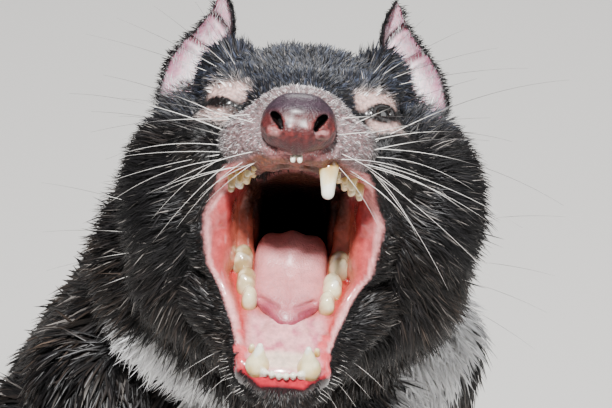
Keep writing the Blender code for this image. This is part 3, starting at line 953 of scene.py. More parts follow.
class Markings:
    """The colours of skin and hair, by place. Skin and coat both read them."""

    BLACK = (0.0048, 0.0044, 0.0048)
    WHITE = (0.88, 0.88, 0.89)
    MUZZLE_SKIN = (0.22, 0.138, 0.14)
    PATCH_SKIN = (0.62, 0.4, 0.36)
    LINING = (0.42, 0.05, 0.05)
    PILLAR = (0.52, 0.125, 0.08)
    RIM = (0.5, 0.095, 0.095)
    LOWER_RIM = (0.76, 0.31, 0.31)
    FLOOR = (0.76, 0.36, 0.37)
    LOWER_LIP = (0.46, 0.018, 0.034)
    WART = (0.6, 0.085, 0.095)
    LIP_EDGE = (0.78, 0.36, 0.36)
    # Painted shade: dark brown for the roof of the mouth, which lies in shade.
    PALATE_IN_SHADE = (0.06, 0.018, 0.009)
    # Painted shade: near-black for the deep throat.
    THROAT = (0.012, 0.003, 0.003)

    def __init__(self, flesh: Flesh) -> None:
        """Keeps what the markings are measured from."""
        self.mouth = flesh.mouth
        self.eye = flesh.eye
        self.muzzle = Lump(HEAD, (0, -0.104, 0.003), (0.034, 0.034, 0.026))
        self.patches = [
            Lump(HEAD, side_point(centre, side), radii)
            for side, _ in SIDES
            for centre, radii in (
                ((0.0272, -0.06, 0.0264), (0.0085, 0.012, 0.0033)),
                ((0.0325, -0.061, 0.0165), (0.0058, 0.01, 0.0022)),
            )
        ]
        low = [(0.0145, -0.094, -0.002), (0.0085, -0.099, -0.0028), (0, -0.1008, -0.003)]
        low += [side_point(point, RIGHT) for point in low[1::-1]]
        self.lower_rim = chain(JAW, low, [flesh.mouth.lip_radius] * 5)
        self.warts = [lump for lump in flesh.mouth.warts() if lump.place == JAW]
        self.gums = flesh.mouth.gums()
        self.band = chain(
            WORLD,
            [
                (-0.0605, -0.092, 0.2745), (-0.056, -0.098, 0.27), (-0.0483, -0.105, 0.258),
                (-0.044, -0.108, 0.245), (-0.041, -0.11, 0.234), (-0.03, -0.111, 0.222),
                (-0.012, -0.112, 0.212), (0.006, -0.112, 0.206), (0.03, -0.104, 0.208),
                (0.048, -0.088, 0.219), (0.058, -0.082, 0.228), (0.07, -0.072, 0.235),
                (0.08, -0.064, 0.244), (0.089, -0.056, 0.251), (0.095, -0.048, 0.261),
            ],
            (0.01, 0.013, 0.016, 0.016, 0.015, 0.013, 0.013, 0.013, 0.013, 0.014, 0.015, 0.016, 0.015,
                0.013, 0.009),
        )

    def inside(self, points: Array) -> Array:
        """How far each point belongs to the wet lining of the mouth, from 0 to 1."""
        gums = closest(self.gums, points)
        return np.maximum(ramp(self.mouth.depth(points), 0.004, 0.0022), ramp(gums, 0.0012, 0.0004))

    def bald(self, points: Array) -> Array:
        """How far each point belongs to the nearly bare patches round the eyes."""
        patches = closest(self.patches, points)
        return ramp(patches + 0.0008 * ripple(points, 0.004, 9), 0.0026, -0.0014)

    def thinned(self, points: Array) -> Array:
        """How much of the coat is missing, from 0 for the full coat to 1 for bare skin."""
        lips = ramp(self.mouth.depth(points), 0.0052, 0.0034)
        front = closest(self.lower_rim, points)
        lips = np.maximum(lips, ramp(front, 0.0014, 0.001) * ramp(into(JAW, points)[:, 1], -0.1042, -0.103))
        lips = np.maximum(lips, self.warty(points))
        lids = ramp(self.eye.ring(points), 2.2, 1.6)
        return np.maximum(np.maximum(lips, lids), 0.88 * self.bald(points))

    def shortened(self, points: Array) -> Array:
        """How long the hair may be, as a share: it is short near the eyes and the lips."""
        eyes = 0.3 + 0.7 * ramp(self.eye.ring(points), 2.0, 4.4)
        lips = 0.45 + 0.55 * ramp(self.mouth.depth(points), 0.004, 0.012)
        return np.minimum(eyes, lips)

    def muzzle_share(self, points: Array) -> Array:
        """How far each point belongs to the pale muzzle."""
        edge = 0.0026 * ripple(points, 0.011, 5)
        return ramp(self.muzzle.distance(points) + edge, 0.0065, -0.0065)

    def warty(self, points: Array) -> Array:
        """How far each point belongs to the red warts beside the lower canines."""
        return ramp(closest(self.warts, points), 0.001, 0.0002)

    def bed(self, points: Array) -> Array:
        """How far each point belongs to the pale floor of the mouth in front of the tongue."""
        jaw = into(JAW, points)
        return ramp(jaw[:, 2], 0.01, 0.005) * ramp(jaw[:, 1], -0.064, -0.074) * ramp(np.abs(jaw[:, 0]),
            0.017, 0.012)

    def white(self, points: Array) -> Array:
        """How far each point belongs to the white band on the chest."""
        distance = closest(self.band, points)
        return ramp(distance + 0.004 * ripple(points, 0.025, 7), 0.004, -0.002)

    def skin(self, points: Array) -> tuple[Array, Array]:
        """Gives the skin's looks.

        Args:
            points: Points of the skin in the row frame.

        Returns:
            The colours and how wet the skin is.
        """
        head, jaw = into(HEAD, points), into(JAW, points)
        colours = plain(self.BLACK, points)
        colours = mixed(colours, (0.6, 0.57, 0.55), self.white(points))
        colours = mixed(colours, self.MUZZLE_SKIN, self.muzzle_share(points))
        colours = mixed(colours, self.PATCH_SKIN, self.bald(points))
        ring = self.eye.ring(points)
        colours = mixed(colours, (0.005, 0.003, 0.003), ramp(ring, 1.6, 1.25))
        depth = self.mouth.depth(points)
        below_nose = ramp(np.abs(head[:, 0]), 0.016, 0.006) * ramp(head[:, 1], -0.098,
            -0.106) * ramp(head[:, 2], 0.002, -0.002)
        colours = mixed(colours, (0.46, 0.13, 0.13), below_nose * 0.7)
        inside = self.inside(points)
        colours = mixed(colours, self.RIM, inside)
        colours = mixed(colours, self.LOWER_RIM,
            inside * ramp(jaw[:, 1], -0.056, -0.068) * ramp(jaw[:, 2], 0.014, 0.008))
        colours = mixed(colours, self.LIP_EDGE, inside * ramp(depth, 0.0012, 0.0022))
        colours = mixed(colours, self.LINING, inside * 0.6 * np.exp(-(((depth - 0.0006) / 0.0005) ** 2)))
        colours = mixed(colours, self.LINING, inside * ramp(depth, 0.0006, -0.0016))
        pillar = ramp(head[:, 1], -0.046, -0.034) * ramp(np.abs(head[:, 0]), 0.029, 0.024)
        colours = mixed(colours, self.PILLAR, inside * pillar * ramp(depth, 0.0006, -0.0016))
        row = np.abs(jaw[:, 0]) - (0.0193 + 0.2 * (jaw[:, 1] + 0.064))
        row += 0.0006 * ripple(points, 0.01, 29)
        valley = np.exp(-((row / 0.0014) ** 2)) * ramp(jaw[:, 1], -0.096, -0.09) * ramp(jaw[:, 2], 0.012,
            0.006)
        colours = mixed(colours, (0.36, 0.014, 0.014), inside * valley * 0.9)
        colours = mixed(colours, self.FLOOR, inside * self.bed(points))
        blush = ramp(ripple(points, 0.009, 27), -0.2, 0.7) * ramp(ripple(points, 0.004, 28), -0.6, 0.6)
        colours = mixed(colours, (0.52, 0.11, 0.18), inside * self.bed(points) * blush * 0.85)
        # Painted shade: the roof of the mouth and the gum strip behind the upper incisors are painted dark brown, a
        # lighter brown towards the front.
        gum = ramp(head[:, 2], -0.0026, -0.0036) * ramp(head[:, 1], -0.1068, -0.1052)
        high = ramp(head[:, 2], -0.024, -0.012) * ramp(np.abs(head[:, 0]), 0.024, 0.017)
        high *= np.maximum(ramp(head[:, 1], -0.1035, -0.1), gum)
        colours = mixed(colours, self.PALATE_IN_SHADE, inside * high)
        colours = mixed(colours, (0.17, 0.045, 0.018), inside * high * ramp(head[:, 1], -0.09, -0.096) * 0.85)
        # Painted shade: the deep throat is painted near-black.
        deep = ramp(head[:, 1], -0.04, -0.026) * ramp(np.abs(head[:, 0]), 0.015, 0.0128)
        colours = mixed(colours, self.THROAT, inside * deep)
        front = ramp(jaw[:, 1], -0.0875, -0.0905) * ramp(jaw[:, 1], -0.0985,
            -0.0965) * ramp(np.abs(jaw[:, 0]), 0.0105, 0.008)
        colours = mixed(colours, (0.78, 0.62, 0.5), inside * front * ramp(jaw[:, 2], 0.0, 0.0015) * 0.9)
        edge = -0.0984 + 0.8 * np.maximum(np.abs(jaw[:, 0]) - 0.0085, 0.0)
        rim = closest(self.lower_rim, points)
        lip = ramp(rim, 0.004, 0.003)
        lip *= ramp(jaw[:, 1] - edge, 0.0006, -0.0006) * ramp(jaw[:, 2], 0.0046, 0.0034)
        colours = mixed(colours, self.LOWER_LIP, lip)
        colours = mixed(colours, (0.62, 0.13, 0.19), lip * ramp(jaw[:, 2], -0.0012, -0.0026))
        outside = ramp(jaw[:, 1] - edge, -0.0038, -0.0048) * ramp(jaw[:, 2], 0.0046, 0.0034) * ramp(rim,
            0.007, 0.005)
        under = ramp(jaw[:, 2], -0.0026, -0.004) * ramp(np.abs(jaw[:, 0]), 0.0105, 0.0125)
        under *= ramp(jaw[:, 1], -0.084, -0.088) * ramp(rim, 0.008, 0.006)
        colours = mixed(colours, (0.022, 0.008, 0.009), np.maximum(outside, under))
        warty = self.warty(points)
        colours = mixed(colours, self.WART, warty)
        lids = 0.55 * ramp(ring, 1.8, 1.4)
        return colours, np.maximum(np.maximum(inside * (1 - 0.75 * high), lids), np.maximum(lip, warty))

    def hair(self, points: Array) -> tuple[Array, Array]:
        """Gives the hair's colours at its roots and tips.

        Args:
            points: The places of the roots in the row frame.

        Returns:
            The colours of the roots and of the tips.
        """
        draw = np.random.default_rng(77)
        head = into(HEAD, points)
        roots = plain(self.BLACK, points)
        tips = roots * 1.5
        brown = ramp(points[:, 2], 0.375, 0.3) * 0.45 + 0.35 * ripple(points, 0.03, 11)
        tips = mixed(tips, (0.07, 0.048, 0.034), np.clip(brown, 0, 1) * draw.random(len(points)) ** 2)
        # Painted reflection: bluish tips on the top of the head stand for the sky's sheen on the black fur.
        sky_sheen = ramp(head[:, 2], 0.012, 0.03) * ramp(head[:, 1], 0.05, 0.0)
        tips = mixed(tips, (0.045, 0.055, 0.085), sky_sheen * draw.random(len(points)) ** 2)
        # Painted highlights: a few tufts get pale tips that stand for glints of light on the black fur.
        glint_tips = (draw.random(len(points)) < 0.06).astype(np.float32)
        tips = mixed(tips, (0.2, 0.18, 0.165), glint_tips * 0.8)
        for share, root, tip in (
            (self.muzzle_share(points), (0.11, 0.09, 0.09), (0.46, 0.42, 0.42)),
            (self.bald(points), (0.34, 0.25, 0.23), (0.62, 0.54, 0.51)),
            (self.white(points), (0.72, 0.7, 0.69), self.WHITE),
        ):
            roots = mixed(roots, root, share)
            tips = mixed(tips, tip, share)
        return roots, tips


def node(
    tree: bpy.types.NodeTree, kind: str, values: dict[str | int, float] | None = None, **settings: object
) -> bpy.types.Node:
    """Adds a shader node.

    Args:
        tree: The nodes that it joins.
        kind: Its type, without the leading ShaderNode.
        values: The constants of its input sockets, by name or number.
        settings: Its other properties.

    Returns:
        The node.
    """
    made = tree.nodes.new("ShaderNode" + kind)
    for key, value in settings.items():
        setattr(made, key, value)
    for key, value in (values or {}).items():
        made.inputs[key].default_value = value
    return made


class Effects:
    """Shader effects that several materials share, each built once as a node group."""

    def __init__(self) -> None:
        """Builds the groups."""
        self.mottle = self.make_mottle()
        self.relief = self.make_relief()

    @staticmethod
    def group(name: str, inputs: Sequence[tuple[str, str, float]],
        outputs: Sequence[tuple[str, str]]) -> tuple:
        """Starts a node group.

        Args:
            name: The group's name.
            inputs: Name, socket type and default of each input. Colour inputs keep Blender's default.
            outputs: Name and socket type of each output.

        Returns:
            The group, its input node and its output node.
        """
        tree = bpy.data.node_groups.new(name, "ShaderNodeTree")
        for title, kind, value in inputs:
            socket = tree.interface.new_socket(title, in_out="INPUT", socket_type=kind)
            if kind == "NodeSocketFloat":
                socket.default_value = value
        for title, kind in outputs:
            tree.interface.new_socket(title, in_out="OUTPUT", socket_type=kind)
        return tree, tree.nodes.new("NodeGroupInput"), tree.nodes.new("NodeGroupOutput")

    def make_mottle(self) -> bpy.types.NodeTree:
        """Blotches that make a colour lighter and darker.

        Returns:
            The group, with inputs Colour, Size and Strength and output Colour.
        """
        tree, given, result = self.group(
            "mottle",
            (("Colour", "NodeSocketColor", 0), ("Size", "NodeSocketFloat", 100),
                ("Strength", "NodeSocketFloat", 0.3)),
            (("Colour", "NodeSocketColor"),),
        )
        links = tree.links
        place = node(tree, "TexCoord")
        noise = node(tree, "TexNoise", {"Detail": 5, "Roughness": 0.65})
        links.new(place.outputs["Object"], noise.inputs["Vector"])
        links.new(given.outputs["Size"], noise.inputs["Scale"])
        spread = node(tree, "MapRange", {"From Min": 0.25, "From Max": 0.75, "To Min": -1.0})
        links.new(noise.outputs["Fac"], spread.inputs["Value"])
        scale = node(tree, "Math", {2: 1.0}, operation="MULTIPLY_ADD")
        links.new(spread.outputs["Result"], scale.inputs[0])
        links.new(given.outputs["Strength"], scale.inputs[1])
        product = node(tree, "VectorMath", operation="SCALE")
        links.new(given.outputs["Colour"], product.inputs[0])
        links.new(scale.outputs["Value"], product.inputs["Scale"])
        links.new(product.outputs["Vector"], result.inputs["Colour"])
        return tree

    def make_relief(self) -> bpy.types.NodeTree:
        """Rounded pebbles with finer grain on them.

        Returns:
            The group, with inputs Size and Grain and output Height.
        """
        tree, given, result = self.group(
            "relief",
            (("Size", "NodeSocketFloat", 900), ("Grain", "NodeSocketFloat", 0.3)),
            (("Height", "NodeSocketFloat"),),
        )
        links = tree.links
        place = node(tree, "TexCoord")
        cells = node(tree, "TexVoronoi", {"Smoothness": 0.25}, feature="SMOOTH_F1")
        links.new(place.outputs["Object"], cells.inputs["Vector"])
        links.new(given.outputs["Size"], cells.inputs["Scale"])
        grain = node(tree, "TexNoise", {"Detail": 4})
        finer = node(tree, "Math", {1: 2.3}, operation="MULTIPLY")
        links.new(given.outputs["Size"], finer.inputs[0])
        links.new(place.outputs["Object"], grain.inputs["Vector"])
        links.new(finer.outputs["Value"], grain.inputs["Scale"])
        domes = node(tree, "Math", {0: 1.0}, operation="SUBTRACT")
        links.new(cells.outputs["Distance"], domes.inputs[1])
        total = node(tree, "Math", operation="MULTIPLY_ADD")
        links.new(grain.outputs["Fac"], total.inputs[0])
        links.new(given.outputs["Grain"], total.inputs[1])
        links.new(domes.outputs["Value"], total.inputs[2])
        links.new(total.outputs["Value"], result.inputs["Height"])
        return tree


@dataclass(frozen=True)
class Finish:
    """A surface whose colour is painted on the mesh as Tint and made lively by the shared effects."""

    name: str
    roughness: float = 0.5
    wet_roughness: float | None = None
    blotch: float = 200.0
    blotch_strength: float = 0.3
    pebble: float = 900.0
    grain: float = 0.5
    bump: float = 0.3
    bump_depth: float = 0.0004
    coat: float = 0.0
    coat_roughness: float = 0.1
    subsurface: float = 0.0
    subsurface_reach: float = 0.002
    specular: float = 0.5
    # How much shade is painted into the hollows between the pebbles.
    hollows: float = 0.0

    def material(self, effects: Effects) -> bpy.types.Material:
        """Builds the material.

        Args:
            effects: The shared node groups.

        Returns:
            The material.
        """
        made = bpy.data.materials.new(self.name)
        made.use_nodes = True
        tree, links = made.node_tree, made.node_tree.links
        surface = tree.nodes["Principled BSDF"]
        tint = node(tree, "Attribute", attribute_name="Tint")
        blotches = {"Size": self.blotch, "Strength": self.blotch_strength}
        mottle = node(tree, "Group", blotches, node_tree=effects.mottle)
        links.new(tint.outputs["Color"], mottle.inputs["Colour"])
        links.new(mottle.outputs["Colour"], surface.inputs["Base Color"])
        if self.bump > 0:
            pebbles = {"Size": self.pebble, "Grain": self.grain}
            relief = node(tree, "Group", pebbles, node_tree=effects.relief)
            bump = node(tree, "Bump", {"Strength": self.bump, "Distance": self.bump_depth})
            links.new(relief.outputs["Height"], bump.inputs["Height"])
            if self.wet_roughness is not None:
                self.smooth_where_wet(tree, relief, bump)
            if self.hollows > 0:
                links.new(self.shaded(tree, relief, mottle), surface.inputs["Base Color"])
            links.new(bump.outputs["Normal"], surface.inputs["Normal"])
        surface.inputs["Roughness"].default_value = self.roughness
        if self.wet_roughness is not None:
            wet = node(tree, "Attribute", attribute_name="Wet")
            dryness = node(tree, "MapRange", {"To Min": self.roughness, "To Max": self.wet_roughness})
            links.new(wet.outputs["Fac"], dryness.inputs["Value"])
            links.new(dryness.outputs["Result"], surface.inputs["Roughness"])
            links.new(wet.outputs["Fac"], surface.inputs["Coat Weight"])
        else:
            surface.inputs["Coat Weight"].default_value = self.coat
        surface.inputs["Coat Roughness"].default_value = self.coat_roughness
        surface.inputs["Specular IOR Level"].default_value = self.specular
        if self.subsurface > 0:
            surface.inputs["Subsurface Weight"].default_value = self.subsurface
            surface.inputs["Subsurface Radius"].default_value = (1.0, 0.35, 0.25)
            surface.inputs["Subsurface Scale"].default_value = self.subsurface_reach
        return made

    def shaded(self, tree: bpy.types.NodeTree, relief: bpy.types.Node,
        colour: bpy.types.Node) -> bpy.types.NodeSocket:
        """Paints shade into the hollows between the pebbles where the surface is dry.

        Args:
            tree: The material's nodes.
            relief: The node that gives the height.
            colour: The node that gives the colour.

        Returns:
            The socket of the shaded colour.
        """
        span = {"From Min": 0.45, "From Max": 1.15, "To Min": -self.hollows, "To Max": 0.5 * self.hollows}
        shade = node(tree, "MapRange", span)
        wet = node(tree, "Attribute", attribute_name="Wet")
        dry = node(tree, "MapRange", {"To Min": 1.0, "To Max": 0.0})
        scale = node(tree, "Math", {2: 1.0}, operation="MULTIPLY_ADD")
        product = node(tree, "VectorMath", operation="SCALE")
        tree.links.new(relief.outputs["Height"], shade.inputs["Value"])
        tree.links.new(wet.outputs["Fac"], dry.inputs["Value"])
        tree.links.new(shade.outputs["Result"], scale.inputs[0])
        tree.links.new(dry.outputs["Result"], scale.inputs[1])
        tree.links.new(colour.outputs["Colour"], product.inputs[0])
        tree.links.new(scale.outputs["Value"], product.inputs["Scale"])
        return product.outputs["Vector"]

    @staticmethod
    def smooth_where_wet(tree: bpy.types.NodeTree, relief: bpy.types.Node, bump: bpy.types.Node) -> None:
        """Keeps most of the relief off the wet part of a surface.

        Args:
            tree: The material's nodes.
            relief: The node that gives the height.
            bump: The node that uses it.
        """
        wet = node(tree, "Attribute", attribute_name="Wet")
        share = node(tree, "MapRange", {"To Min": 1.0, "To Max": 0.1})
        height = node(tree, "Math", operation="MULTIPLY")
        tree.links.new(wet.outputs["Fac"], share.inputs["Value"])
        tree.links.new(relief.outputs["Height"], height.inputs[0])
        tree.links.new(share.outputs["Result"], height.inputs[1])
        tree.links.new(height.outputs["Value"], bump.inputs["Height"])


SKIN = Finish("animal_skin", 0.5, 0.24, blotch=380, blotch_strength=0.32, pebble=600, bump=0.9,
    bump_depth=0.0009,
              coat_roughness=0.16, subsurface=0.1, specular=0.32, hollows=0.4)
NOSE_LEATHER = Finish("nose_leather", 0.42, blotch=420, blotch_strength=0.55, pebble=1200, grain=0.7,
    bump=0.55, coat=0.18,
                      coat_roughness=0.24, specular=0.26)
TONGUE = Finish("wet_tongue", 0.38, blotch=300, blotch_strength=0.22, pebble=1500, bump=0.45, coat=0.35,
                coat_roughness=0.28, subsurface=0.25)
ENAMEL = Finish("tooth_enamel", 0.22, blotch=380, blotch_strength=0.16, pebble=500, grain=1.0, bump=0.12,
    coat=0.6)
EAR_SKIN = Finish("ear_skin", 0.55, blotch=260, blotch_strength=0.28, pebble=900, bump=0.35, subsurface=0.25)
EYE_SHINE = Finish("wet_eye", 0.22, blotch=900, blotch_strength=0.35, bump=0.0, coat=1.0, coat_roughness=0.09)
CLAW = Finish("claw_horn", 0.38, blotch=700, blotch_strength=0.3, pebble=1600, bump=0.25, coat=0.2)
WHISKER = Finish("whisker_hair", 0.35, blotch=300, blotch_strength=0.1, bump=0.0, specular=0.6)
FUR = Finish("fur", 0.4, blotch=120, blotch_strength=0.35, bump=0.0, specular=0.24)


@dataclass
class Skin:
    """The one skin round all the flesh. Finer boxes of it are drawn for the head and the feet."""

    flesh: Flesh
    markings: Markings
    head_step: float = 0.00125
    body_step: float = 0.0046
    foot_step: float = 0.0018
    overlap: float = 0.003

    def boxes(self) -> list[Lattice]:
        """The finer boxes: the head's, then the feet's."""
        found = [Lattice((-0.07, -0.13, -0.106), (0.07, 0.022, 0.082), self.head_step, HEAD)]
        for side, _ in SIDES:
            for fore, back in ((True, 0.03), (False, 0.085)):
                paw = WORLD @ self.flesh.legs.paw(side, fore)
                low = (paw.x - 0.032, paw.y - 0.055, -0.006)
                high = (paw.x + 0.032, paw.y + back, 0.03)
                found.append(Lattice(low, high, self.foot_step))
        return found

    def room_of(self, box: Lattice) -> Wrap:
        """The space that a finer box draws, a little smaller than it, as a form."""
        corners = []
        for x in (box.low[0] + self.overlap, box.high[0] - self.overlap):
            for y in (box.low[1] + self.overlap, box.high[1] - self.overlap):
                for z in (box.low[2] + self.overlap, box.high[2] - self.overlap):
                    corners.append((box.place, (x, y, z), 0.0001))
        return Wrap(tuple(corners))

    def drawn(self) -> tuple[Array, Array]:
        """Draws every box.

        Returns:
            Points and faces of the whole skin.
        """
        boxes = self.boxes()
        body = Lattice((-0.136, -0.33, -0.008), (0.136, 0.348, 0.4), self.body_step)
        surfaces = []
        for box in boxes + [body]:
            for layer in self.flesh.layers():
                (box.carve if layer.taken else box.melt)(layer.forms, layer.blend)
            if box is body:
                box.carve([self.room_of(finer) for finer in boxes], 0.0002)
            surfaces.append(box.surface())
            LOG.info("skin box with a step of %.1f mm: %d faces", box.step / MILLIMETRE, len(surfaces[-1][1]))
        return joined_arrays(surfaces)

    def build(self, effects: Effects) -> bpy.types.Object:
        """Makes the skin.

        Args:
            effects: The shared node groups.

        Returns:
            The skin.
        """
        points, faces = self.drawn()
        skin = mesh_piece("skin", points, faces, SKIN.material(effects))
        outward = np.zeros(points.size, dtype=np.float32)
        skin.data.vertex_normals.foreach_get("vector", outward)
        colours, wet = self.markings.skin(points)
        bare = self.markings.muzzle_share(points) * (1 - wet)
        pebbles = 0.0006 * ripple(points, 0.0046, 21) + 0.00045 * ripple(points, 0.0029, 22)
        pleats = 0.00022 * ripple(points, 0.006, 23) * wet * (1 - self.markings.bed(points))
        points += outward.reshape(-1, 3) * (pebbles * bare + pleats)[:, None]
        skin.data.vertices.foreach_set("co", points.astype(np.float32).ravel())
        skin.data.update()
        paint(skin, "Tint", colours)
        skin.data.attributes.new("Wet", "FLOAT", "POINT").data.foreach_set("value", wet.astype(np.float32))
        legs = [f"{leg}_{name}" for leg in ("foreleg", "hindleg") for _, name in SIDES]
        settle(skin, "black_coat", "torso", "neck", "tail", "head", "lower_jaw", *legs)
        return skin


@dataclass
class Nose:
    """The bare nose pad with its two nostrils."""

    reach: float = 0.111
    height: float = 0.0088
    step: float = 0.00045

    def build(self, effects: Effects) -> None:
        """Makes the nose."""
        y, z = -self.reach, self.height
        box = Lattice((-0.017, y - 0.0125, z - 0.0145), (0.017, y + 0.013, z + 0.014), self.step, HEAD)
        pad: list[Form] = [
            Lump(HEAD, (0.0032, y + 0.0008, z + 0.0014), (0.0088, 0.0086, 0.009)),
            Lump(HEAD, (-0.0032, y + 0.0008, z + 0.0014), (0.0088, 0.0086, 0.009)),
            Lump(HEAD, (0.0036, y + 0.0, z - 0.0046), (0.0066, 0.0082, 0.0056)),
            Lump(HEAD, (-0.0036, y + 0.0, z - 0.0046), (0.0066, 0.0082, 0.0056)),
        ]
        holes: list[Form] = []
        wings: list[Form] = []
        for side, _ in SIDES:
            pad.append(Lump(HEAD, (0.0084 * side, y + 0.002, z - 0.0018), (0.0056, 0.0088, 0.0074)))
            comma = (
                (0.0106, 0.0008, 0.0007), (0.0098, 0.0003, 0.0011), (0.0088, -0.0008, 0.0014),
                (0.0078, -0.0023, 0.0011), (0.0071, -0.004, 0.0007),
            )
            for out, up, wide in comma:
                mouth_of_it = (out * side, y - 0.013, z + up)
                holes.append(Limb(HEAD, mouth_of_it, ((out - 0.0014) * side, y - 0.0016, z + up + 0.0008),
                    wide, wide))
            slit = [(0.0102 * side, y - 0.008, z + 0.003), (0.0136 * side, y - 0.0035, z + 0.002)]
            slit.append((0.015 * side, y + 0.003, z - 0.0005))
            holes += chain(HEAD, slit, (0.0006, 0.0006, 0.0005))
            wing = [(0.0078 * side, y - 0.0072, z - 0.0058), (0.0102 * side, y - 0.0058, z - 0.0048),
                (0.0124 * side, y - 0.003, z - 0.0026)]
            wings += chain(HEAD, wing, (0.0012, 0.0018, 0.0014))
        pad.append(Lump(HEAD, (0, y + 0.0008, z - 0.0078), (0.0056, 0.0066, 0.0042)))
        groove = [(0, y - 0.0084, z - 0.0066), (0, y - 0.0074, z - 0.0084), (0, y - 0.006, z - 0.0108),
            (0, y - 0.002, z - 0.013)]
        box.melt(pad, 0.0032)
        box.carve(holes, 0.001)
        box.carve(chain(HEAD, groove, (0.0006, 0.0014, 0.002, 0.002)), 0.0008)
        box.melt(wings, 0.0012)
        points, faces = box.surface()
        near = into(HEAD, points)
        colours = plain((0.072, 0.014, 0.014), points)
        mottled = ramp(ripple(points, 0.0035, 41), -0.3, 0.8) * ramp(near[:, 2], z + 0.002, z - 0.004)
        colours = mixed(colours, (0.165, 0.027, 0.024), mottled * 0.85)
        spots = ramp(ripple(points, 0.002, 43), 0.2, 0.8) * ramp(near[:, 2], z + 0.003, z - 0.003)
        colours = mixed(colours, (0.018, 0.007, 0.008), spots * 0.6)
        colours = mixed(colours, (0.03, 0.02, 0.03), ramp(near[:, 2], z - 0.0005, z + 0.0045) * 0.9)
        # Painted shade: the underside of the pad is painted darker.
        colours = mixed(colours, (0.05, 0.007, 0.009), ramp(near[:, 2], z - 0.006, z - 0.0105) * 0.85)
        # Painted shade: the nostrils and the groove below the pad are painted near-black.
        philtrum = chain(HEAD, groove, (0.0002, 0.001, 0.0014, 0.0014))
        dark = ramp(closest(holes + philtrum, points), 0.0007, 0.0001)
        colours = mixed(colours, (0.006, 0.003, 0.003), dark)
        # Painted highlight: a pale pink gleam on the folds beside the nostrils.
        wing_highlight = ramp(closest(wings, points), 0.0005, 0.0001)
        wing_highlight *= ramp(np.abs(near[:, 0]), 0.0122, 0.0104) * ramp(ripple(points, 0.003, 45), -1.0, 0.3)
        colours = mixed(colours, (0.38, 0.16, 0.155), wing_highlight * 0.75)
        piece = mesh_piece("nose_pad", points, faces, NOSE_LEATHER.material(effects))
        paint(piece, "Tint", colours)
        settle(piece, "nose_leather", "nose")


@dataclass
class Tongue:
    """The tongue, drawn back on the floor of the mouth."""

    step: float = 0.0006

    def build(self, effects: Effects) -> None:
        """Makes the tongue."""
        box = Lattice((-0.019, -0.082, -0.014), (0.019, -0.006, 0.022), self.step, JAW)
        forms: list[Form] = [
            Lump(JAW, (0, -0.052, 0.002), (0.0135, 0.0185, 0.006)),
            Lump(JAW, (0, -0.062, 0.0046), (0.0086, 0.0146, 0.0046)),
            Lump(JAW, (0, -0.043, 0.001), (0.0132, 0.013, 0.0105)),
            Lump(JAW, (0, -0.031, -0.007), (0.0115, 0.011, 0.008)),
            Lump(JAW, (0, -0.04, 0.008), (0.0052, 0.008, 0.0052)),
        ]
        for side, _ in SIDES:
            forms.append(Lump(JAW, (0.0088 * side, -0.041, 0.0062), (0.0046, 0.009, 0.0046)))
            forms.append(Lump(JAW, (0.0078 * side, -0.057, 0.003), (0.0062, 0.0095, 0.005)))
        grooves: list[Form] = list(chain(JAW, [(0, -0.07, 0.0092), (0, -0.056, 0.01)], (0.0005, 0.0005)))
        for out, back, high in ((0.003, -0.0697, 0.0076), (0.0052, -0.0718, 0.0062),
            (-0.004, -0.0694, 0.0074)):
            far = (out + math.copysign(0.0068, out), back + 0.0052, high - 0.0018)
            grooves += chain(JAW, [(out, back, high), far], (0.0004, 0.0006))
        box.melt(forms, 0.0045)
        box.carve(grooves, 0.002)
        points, faces = box.surface()
        near = into(JAW, points)
        colours = plain((0.58, 0.18, 0.195), points)
        colours = mixed(colours, (0.3, 0.045, 0.08),
            ramp(near[:, 1] + 0.0015 * ripple(points, 0.008, 19), -0.058, -0.07))
        colours = mixed(colours, (0.66, 0.27, 0.27), ramp(near[:, 2], 0.005, 0.01) * 0.7)
        colours = mixed(colours, (0.36, 0.06, 0.08), ramp(near[:, 2], 0.001, -0.003))
        piece = mesh_piece("wet_tongue", points, faces, TONGUE.material(effects))
        paint(piece, "Tint", colours)
        settle(piece, "mouth_lining", "tongue")


